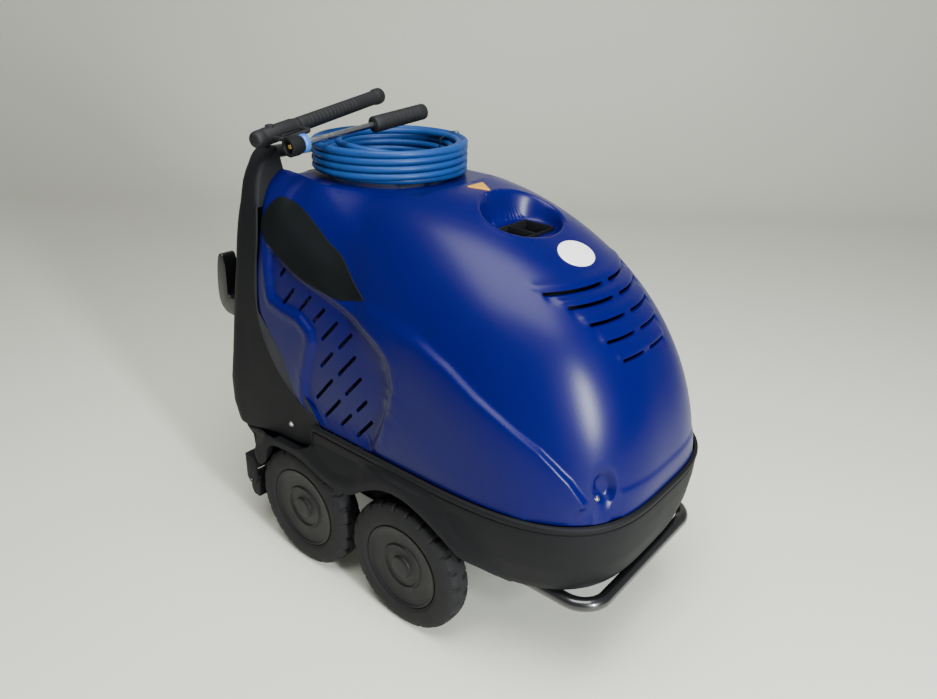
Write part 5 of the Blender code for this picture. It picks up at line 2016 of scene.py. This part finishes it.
@dataclass
class Controls:
    """The control panel with its knobs, gauge and lamp, and the connections under it."""

    housing: Housing

    def on_panel(self, u: float, height: float, out: float) -> tuple[Vector, Vector, Vector]:
        """A point on the housing's flat upper rear.

        Args:
            u: how far to the side.
            height: its height.
            out: how far it stands off.

        Returns:
            The point, the face's normal and the way up the slope.
        """
        low, high = self.housing.rear_at(0.7), self.housing.rear_at(0.845)
        slope = Vector((0, high - low, 0.145)).normalized()
        normal = Vector((0, slope.z, -slope.y))
        y = low + (high - low) * (height - 0.7) / 0.145
        return Vector((u, y, height)) + normal * out, normal, slope

    def make_panel(self) -> None:
        """The panel: a thin plate with a rolled border and plain raised dial marks."""
        outline = rounded_corners(mm((-165, -58), (165, -58), (165, 58), (-165, 58)), 0.012)
        panel = slab("control_panel_plate", outline, "Y", 0.0003, 0.0063, 0.0012, 3)
        parts = [panel]
        for u, v, radius in ((-0.105, 0.0, 0.0275), (0.0, 0.0, 0.0275), (0.062, -0.016, 0.0185)):
            for k in range(9):
                a = math.radians(-120 + 30 * k)
                mark = block("mark", (-0.0005, 0.006, radius), (0.0005, 0.0067, radius + 0.0045))
                mark.matrix_world = Matrix.Translation((u, 0, v)) @ Matrix.Rotation(a, 4, "Y")
                parts.append(mark)
        whole = join(parts, "control_panel_plate")
        base, normal, slope = self.on_panel(0.0, 0.772, 0.0)
        turn = Matrix((Vector((1, 0, 0)), normal, slope)).transposed().to_4x4()
        whole.matrix_world = Matrix.Translation(base) @ turn
        settle(whole, PANEL_GREY, "machine", "control_panel")

    def make_knob(self, name: str, u: float, height: float, radius: float, depth: float,
                  finish: Finish, body: str) -> None:
        """A knob with a skirt, finger flutes and a raised pointer.

        Args:
            name: the CAD node it stands for.
            u: how far to the side.
            height: its height.
            radius: its radius.
            depth: how far it stands out.
            finish: its finish.
            body: the CAD body it rides on.
        """
        start, direction, slope = self.on_panel(u, height, 0.0066)
        knob = lathe(f"{name}_grip", [
            (0.0, radius * 0.98), (0.0006, radius), (0.0026, radius), (0.0034, radius * 0.96),
            (0.004, radius * 0.84), (depth - 0.004, radius * 0.78),
            (depth - 0.0018, radius * 0.76), (depth - 0.0006, radius * 0.7),
            (depth, radius * 0.6)],
            start, direction, 72)
        flutes = []
        for k in range(12):
            a = math.pi / 6 * k
            side = Vector((1, 0, 0)) * math.cos(a) + slope * math.sin(a)
            flutes.append(lathe("flute", [(0.0, radius * 0.1), (depth, radius * 0.1)],
                                start + side * radius * 0.84 + direction * 0.0045, direction, 12))
        cut(knob, join(flutes, "flutes"))
        centre = start + direction * (depth - 0.0006)
        pointer = block("pointer", (-0.0011, radius * 0.1, -0.001), (0.0011, radius * 0.62, 0.0012),
                        0.0004, 2)
        turn = Matrix((Vector((1, 0, 0)), slope, direction)).transposed().to_4x4()
        pointer.matrix_world = Matrix.Translation(centre) @ turn
        settle(join([knob, pointer], f"{name}_grip"), finish, body, name)

    def make_gauge(self) -> None:
        """The pressure gauge: a steel bezel, a pale dial with plain marks, and a needle."""
        start, direction, slope = self.on_panel(0.118, 0.78, 0.0066)
        bezel = lathe("gauge_bezel", mm(
            (0, 25.5), (0.6, 26), (9.8, 26), (11.4, 25.2), (12, 23.8), (11.2, 22.6), (8.5, 22.2),
            (8.5, 10)), start, direction, 72)
        settle(bezel, BRIGHT_STEEL, "machine", "pressure_gauge")
        dial = lathe("gauge_dial", mm(
            (8, 5), (8, 22.1), (8.9, 22.1), (8.9, 5)), start, direction, 64)
        settle(dial, DIAL_WHITE, "machine")
        turn = Matrix((Vector((1, 0, 0)), slope, direction)).transposed().to_4x4()
        parts = []
        for k in range(11):
            a = math.radians(-135 + 27 * k)
            mark = block("mark", (-0.0003, 0.0165, 0.0088), (0.0003, 0.0205, 0.0091))
            mark.matrix_world = (Matrix.Translation(start) @ turn @ Matrix.Rotation(-a, 4, "Z"))
            parts.append(mark)
        needle = slab("needle", mm(
            (-0.7, -4), (0.7, -4), (0.2, 15.5), (-0.2, 15.5)), "Z", 0.0092, 0.0096)
        needle.matrix_world = (Matrix.Translation(start) @ turn
                               @ Matrix.Rotation(math.radians(135), 4, "Z"))
        parts.append(needle)
        settle(join(parts, "gauge_marks"), GRIP_RUBBER, "machine")

    def make_lamp(self) -> None:
        """The power lamp: a domed lens in a ring."""
        start, direction, _ = self.on_panel(-0.052, 0.805, 0.0066)
        lamp = lathe("lamp_lens", mm(
            (0, 5.3), (0.4, 5.5), (1.6, 5.5), (2, 4.8), (2.6, 4.2), (3.4, 3),
            (3.8, 1.2)), start, direction, 40)
        settle(lamp, DIAL_WHITE, "machine", "power_lamp")

    def fitting(self, name: str, x: float, profile: Outline, finish: Finish, node: str,
                hexagon: Outline = ()) -> None:
        """A turned fitting on the rear wall, with a hexagon where it is gripped.

        Args:
            name: the piece's name.
            x: how far to the side.
            profile: its turned profile.
            finish: its finish.
            node: the CAD node it stands for.
            hexagon: the hexagon's profile.
        """
        z = 0.37
        start, direction = Vector((x, self.housing.rear_at(z) + 0.0012, z)), Vector((0, 1, 0))
        parts = [lathe(name, profile, start, direction, 48)]
        if hexagon:
            parts.append(lathe("hexagon", hexagon, start, direction, 6))
        settle(join(parts, name), finish, "machine", node, angle=28.0)

    def make_cap(self, name: str, x: float, finish: Finish, body: str) -> None:
        """A screw cap with a ribbed edge.

        Args:
            name: the CAD node it stands for.
            x: how far to the side.
            finish: its finish.
            body: the CAD body it rides on.
        """
        slope = Vector((0, 0.06, -0.035)).normalized()
        normal = Vector((0, -slope.z, slope.y))
        start = Vector((x, 0.329, 0.8651)) + normal * 0.001
        cap = lathe(f"{name}_top", mm(
            (0, 19.8), (0.5, 20.4), (10, 20.4), (11.4, 19.8), (12, 18.6), (11.2, 15),
            (11, 6)), start, normal, 96)
        ribs = []
        for k in range(24):
            a = 2 * math.pi * k / 24
            side = Vector((1, 0, 0)) * math.cos(a) + slope * math.sin(a)
            ribs.append(lathe("rib", mm(
                (0.8, 0.7), (1.4, 1.2), (9.2, 1.2), (10, 0.7)), start + side * 0.02, normal, 8))
        settle(join([cap, *ribs], f"{name}_top"), finish, body, name)

    def build(self) -> None:
        """Builds the panel and the connections."""
        self.make_panel()
        self.make_knob("main_switch", -0.105, 0.772, 0.024, 0.02, SIGNAL_RED, "main_switch_body")
        self.make_knob("temperature_knob", 0.0, 0.772, 0.024, 0.02, TUB_BLACK,
                       "temperature_knob_body")
        self.make_knob("detergent_knob", 0.062, 0.756, 0.015, 0.016, TUB_BLACK,
                       "detergent_knob_body")
        self.make_gauge()
        self.make_lamp()
        self.fitting("inlet_fitting", -0.12, mm(
            (0, 15.5), (1, 16), (1.5, 16), (8, 12.5), (9, 12), (20, 12), (20.8, 11.2), (21.6, 12),
            (22.4, 11.2), (23.2, 12), (26.2, 11.8), (29.5, 10), (29.5, 7), (20, 7)),
            BRASS, "water_inlet", mm((1.2, 10), (1.2, 16), (8, 16), (8, 10)))
        self.fitting("outlet_fitting", 0.12, mm(
            (0, 17.5), (1, 18), (9.5, 18), (10, 17.2), (10, 11.2), (24, 11.2), (24.5, 9.8),
            (27.5, 9.8), (28, 11.2), (34.5, 11), (35.8, 9.5), (35.8, 6.2), (20, 6.2)),
            BRIGHT_STEEL, "high_pressure_outlet")
        self.fitting("gland", 0.0, mm(
            (0, 12), (8, 12.2), (10, 11.8), (15, 11.2), (20, 10), (23.5, 7.8), (23.8, 6),
            (18, 5.2)),
            TUB_BLACK, "cable_gland", mm((0, 10), (0, 14.8), (8, 14.8), (8, 10)))
        self.make_cap("fuel_cap", -0.095, TUB_BLACK, "fuel_cap_body")
        self.make_cap("detergent_cap", 0.095, COLLAR_BLUE, "detergent_cap_body")


# ---------------------------------------------------------------- gun and lance

@dataclass
class Gun:
    """The trigger gun that lies across the housing's shelf."""

    start: Vector = field(default_factory=lambda: Vector((-0.272, 0.283, 0.9745)))
    end: Vector = field(default_factory=lambda: Vector((0.15, 0.341, 1.0265)))
    body_length: float = 0.13

    @property
    def axis(self) -> Vector:
        """The way the barrel points."""
        return (self.end - self.start).normalized()

    @property
    def side(self) -> Vector:
        """The way the trigger and its guard stand out."""
        return Vector((self.axis.y, -self.axis.x, 0.0)).normalized()

    def make_body(self) -> None:
        """The gun's body with its rounded end, seam rib and loop guard."""
        body = lathe("gun_handle", mm(
            (-0.2, 6), (0.4, 10.5), (2, 14.2), (5, 16.6), (10, 17.8), (20, 18.3), (23.5, 17.2),
            (26, 17.2), (29, 18.5), (90, 18.4), (112, 17.6), (116, 16.6), (119, 17.4), (128, 16),
            (130, 14.5)),
            self.start, self.axis, 56)
        flat = Vector((0, 0, -0.002))
        near = self.start + self.axis * 0.04 + self.side * 0.01 + flat
        far = self.start + self.axis * 0.12 + self.side * 0.01 + flat
        guard = tube("guard_loop", bent_line([near, near + self.side * 0.038,
                                              far + self.side * 0.038, far], 0.012, 10), 0.005, 6)
        rib = tube("seam_rib", [self.start + self.axis * a + Vector((0, 0, 0.0178)) for a in
                                (0.034, 0.06, 0.088, 0.108)], 0.0016, 4)
        upward = self.axis.cross(Vector((0, 0, 1)).cross(self.axis))
        boss = lathe("boss", mm((0, 9.5), (20, 9.5), (20.8, 8.8), (21.2, 7)),
                     self.start + self.axis * 0.05, upward, 32)
        settle(join([body, guard, rib, boss], "gun_handle"), GRIP_RUBBER, "gun", "gun_body")

    def make_barrel(self) -> None:
        """The insulated barrel sleeve: ribbed, with a thicker rounded end."""
        profile = mm((0, 14.2), (0.8, 15.6), (3, 16.4))
        profile += grooves([0.02 + k * 0.0125 for k in range(14)], (0.001, 0.0026, 0.0036),
                           0.0164, 0.0156)
        profile += mm(
            (266, 16.4), (270, 17.4), (274, 18.7), (278, 19), (288, 19), (292.5, 18.3), (295, 16.8),
            (296, 14), (296.2, 8))
        barrel = lathe("gun_sleeve", profile, self.start + self.axis * (self.body_length + 0.0003),
                       self.axis, 48)
        settle(barrel, GRIP_RUBBER, "gun", "gun_barrel")

    def make_trigger(self) -> None:
        """The curved trigger inside the guard."""
        flat = Vector((0, 0, -0.002))
        a = self.start + self.axis * 0.056 + self.side * 0.023 + flat
        b = self.start + self.axis * 0.104 + self.side * 0.029 + flat
        line = [a.lerp(b, t) + self.side * 0.003 * math.sin(math.pi * t)
                for t in (k / 12 for k in range(13))]
        radii = [0.72 + 0.28 * math.sin(math.pi * min(1.0, k / 5)) ** 0.5 if k < 3 else 1.0
                 for k in range(13)]
        trigger = tube("trigger_bar", line, 0.0035, 6, radii)
        settle(trigger, TUB_BLACK, "trigger", "gun_trigger")

    def build(self) -> None:
        """Builds the gun."""
        self.make_body()
        self.make_barrel()
        self.make_trigger()


@dataclass
class Lance:
    """The lance that lies on the coil, with its nozzle guard at one end and grip at the other."""

    start: Vector = field(default_factory=lambda: Vector((-0.262, 0.187, 0.9735)))
    end: Vector = field(default_factory=lambda: Vector((0.104, 0.158, 1.0125)))
    grip: float = 0.15

    def build(self) -> None:
        """Builds the lance."""
        axis = (self.end - self.start).normalized()
        length = (self.end - self.start).length
        guard = lathe("guard_cup", mm(
            (0, 15.2), (-0.2, 16), (0, 19.5), (1.2, 20.5), (4.5, 20.5), (5.2, 19.7), (6.6, 19.7),
            (7.3, 20.5), (20.5, 20.4), (27, 18.5), (31.8, 16.3), (32, 9), (10, 9),
            (8.8, 13)), self.start, axis, 56, True)
        settle(guard, TUB_BLACK, "lance", "nozzle_guard")
        tip = lathe("spray_tip", mm((0, 1.8), (-0.3, 4), (0.6, 5), (3, 6), (26, 6)),
                    self.start + axis * 0.004, axis, 40)
        settle(tip, BRASS, "lance", "nozzle_tip")
        collar = mm((0, 15), (0.6, 16.5), (3.6, 18.3))
        collar += grooves([0.0044 + k * 0.0026 for k in range(3)], (0.0005, 0.0012, 0.0017),
                          0.0185, 0.0179)
        collar += mm((12.6, 17.6), (15, 14), (15.8, 11))
        ring = lathe("blue_collar", collar, self.start + axis * 0.0323, axis, 48)
        settle(ring, COLLAR_BLUE, "lance", "nozzle_collar")
        first = self.start + axis * 0.0486
        last = self.start + axis * (length - self.grip - 0.0003)
        run = (last - first).length
        pipe = lathe("steel_pipe", [
            (0.0, 0.0064), (0.0003, 0.0065), (0.004, 0.0065), (0.0045, 0.006), (0.0055, 0.006),
            (0.006, 0.0065), (run - 0.0003, 0.0065), (run, 0.0064)], first, axis, 40)
        settle(pipe, BRIGHT_STEEL, "lance", "lance_tube")
        profile = mm((0, 8), (0, 14), (1.2, 16.5), (3.4, 17.5))
        profile += grooves([0.024 + k * 0.012 for k in range(9)], (0.0012, 0.0034, 0.0046),
                           0.0175, 0.0164)
        profile += ((self.grip - 0.0045, 0.0175), (self.grip - 0.0016, 0.0166),
                    (self.grip - 0.0003, 0.015), (self.grip, 0.0105), (self.grip - 0.006, 0.0085))
        grip = lathe("grip_sleeve", profile, self.start + axis * (length - self.grip), axis, 48)
        settle(grip, GRIP_RUBBER, "lance", "lance_grip")


# ---------------------------------------------------------------- what stays as the frame has it

INSIDE: dict[str, Finish] = {
    "boiler": DARK_STEEL, "burner_blower": CAST_ALLOY, "electric_motor": CAST_IRON, "pump": BRASS,
    "water_tank": TANK_WHITE, "fuel_tank": TANK_WHITE, "detergent_tank": TANK_WHITE,
    "control_box": PANEL_GREY, "axle_front": DARK_STEEL, "axle_rear": DARK_STEEL,
    "brake_pin": DARK_STEEL}


def dress_nodes(frame: dict) -> None:
    """Gives the frame's own pieces that are kept their finishes.
    """
    for name, finish in INSIDE.items():
        node = frame["nodes"][name]
        material = finish.material(f"{name}_finish")
        if not node.data.materials:
            node.data.materials.append(material)
        for i in range(len(node.data.materials)):
            node.data.materials[i] = material
        LOG.info("%s dressed", name)


# ---------------------------------------------------------------- the studio

@dataclass
class Studio:
    """A pale floor and backdrop, soft overhead light, a tall side window, and the camera."""

    place: Point = (-1.25095, -1.01867, 1.27)
    forward: Point = (0.7083, 0.5665, -0.4211)
    across: Point = (0.6339, -0.7729, 0.0265)
    upward: Point = (0.3105, 0.2857, 0.9066)
    lens: float = 29.97

    def make_camera(self) -> None:
        """Places the camera and makes it the scene's."""
        data = bpy.data.cameras.new("view")
        data.lens = self.lens
        data.sensor_width = 36.0
        data.clip_start = 0.02
        camera = put("view", data)
        turn = Matrix((self.across, self.upward, [-c for c in self.forward])).transposed()
        camera.matrix_world = Matrix.Translation(self.place) @ turn.to_quaternion().to_matrix(
            ).to_4x4()
        bpy.context.scene.camera = camera

    def area(self, name: str, place: Point, target: Point, size: tuple[float, float],
             power: float, colour: str) -> None:
        """Hangs one soft rectangular light.

        Args:
            name: its name.
            place: where it hangs.
            target: what it points at.
            size: its width and height.
            power: its power, in watts.
            colour: its colour, in hex.
        """
        data = bpy.data.lights.new(name, "AREA")
        data.shape = "RECTANGLE"
        data.size, data.size_y = size
        data.energy = power
        data.color = linear(colour)[:3]
        lamp = put(name, data)
        lamp.location = place
        lamp.rotation_euler = (Vector(target) - Vector(place)).to_track_quat("-Z", "Y").to_euler()

    def make_floor(self) -> None:
        """A matt painted floor that curves up into a backdrop."""
        rows = []
        for x in (-6.0, 6.0):
            row = [(-4.0, 0.0)] + [(3.2 + 1.2 * math.sin(a), 1.2 - 1.2 * math.cos(a))
                                   for a in (math.pi / 2 * k / 16 for k in range(17))]
            row += [(4.4, 4.0)]
            way, wide = Vector((0.78, 0.626, 0)), Vector((0.626, -0.78, 0))
            rows.append([tuple(way * v + wide * x + Vector((0, 0, z))) for v, z in row])
        floor = skin("studio_floor", rows)
        up = sum((p.normal.z for p in floor.data.polygons), 0.0)
        if up < 0:
            floor.data.flip_normals()
        shade(floor, 60.0)
        paint = Finish("floor", "#D6D7C9", "#D2D3C5", 0.62, 0.05, cloud=0.9, grain=0.004,
                       relief=0.0001)
        floor.data.materials.append(paint.material("floor_paint"))

    def build(self) -> None:
        """Builds the studio."""
        world = bpy.data.worlds.new("studio")
        world.use_nodes = True
        back = world.node_tree.nodes["Background"]
        back.inputs["Color"].default_value = linear("#E9ECEE")
        back.inputs["Strength"].default_value = 0.34
        bpy.context.scene.world = world
        self.area("overhead", (-0.7, -0.6, 3.2), (0.0, 0.0, 0.4), (2.2, 2.2), 175.0, "#FFFFFF")
        self.area("window", (-1.2, -3.6, 1.7), (0.0, -0.4, 0.6), (0.36, 1.5), 300.0, "#F4F8FF")


def main(frame: dict) -> None:
    """Builds every sub-assembly in order and reports each.
    """
    studio = Studio()
    studio.make_camera()
    Hose().build()
    studio.make_floor()
    studio.build()
    tub, hood = Tub(), Hood()
    hood.build()
    tub.build()
    housing = Housing(tub, hood)
    housing.build()
    for side in Side:
        for row, y in (("front", -0.158), ("rear", 0.158)):
            label = f"{row}_{side.word}"
            Wheel(f"wheel_{label}", label, (0.0, y, 0.15), side).build()
    Chassis().build()
    Controls(housing).build()
    Gun().build()
    Lance().build()
    dress_nodes(frame)
    LOG.info("all pieces done")


if __name__ == "__main__":
    logging.basicConfig(level=logging.INFO, format="%(message)s")
    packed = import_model()
    main(packed)
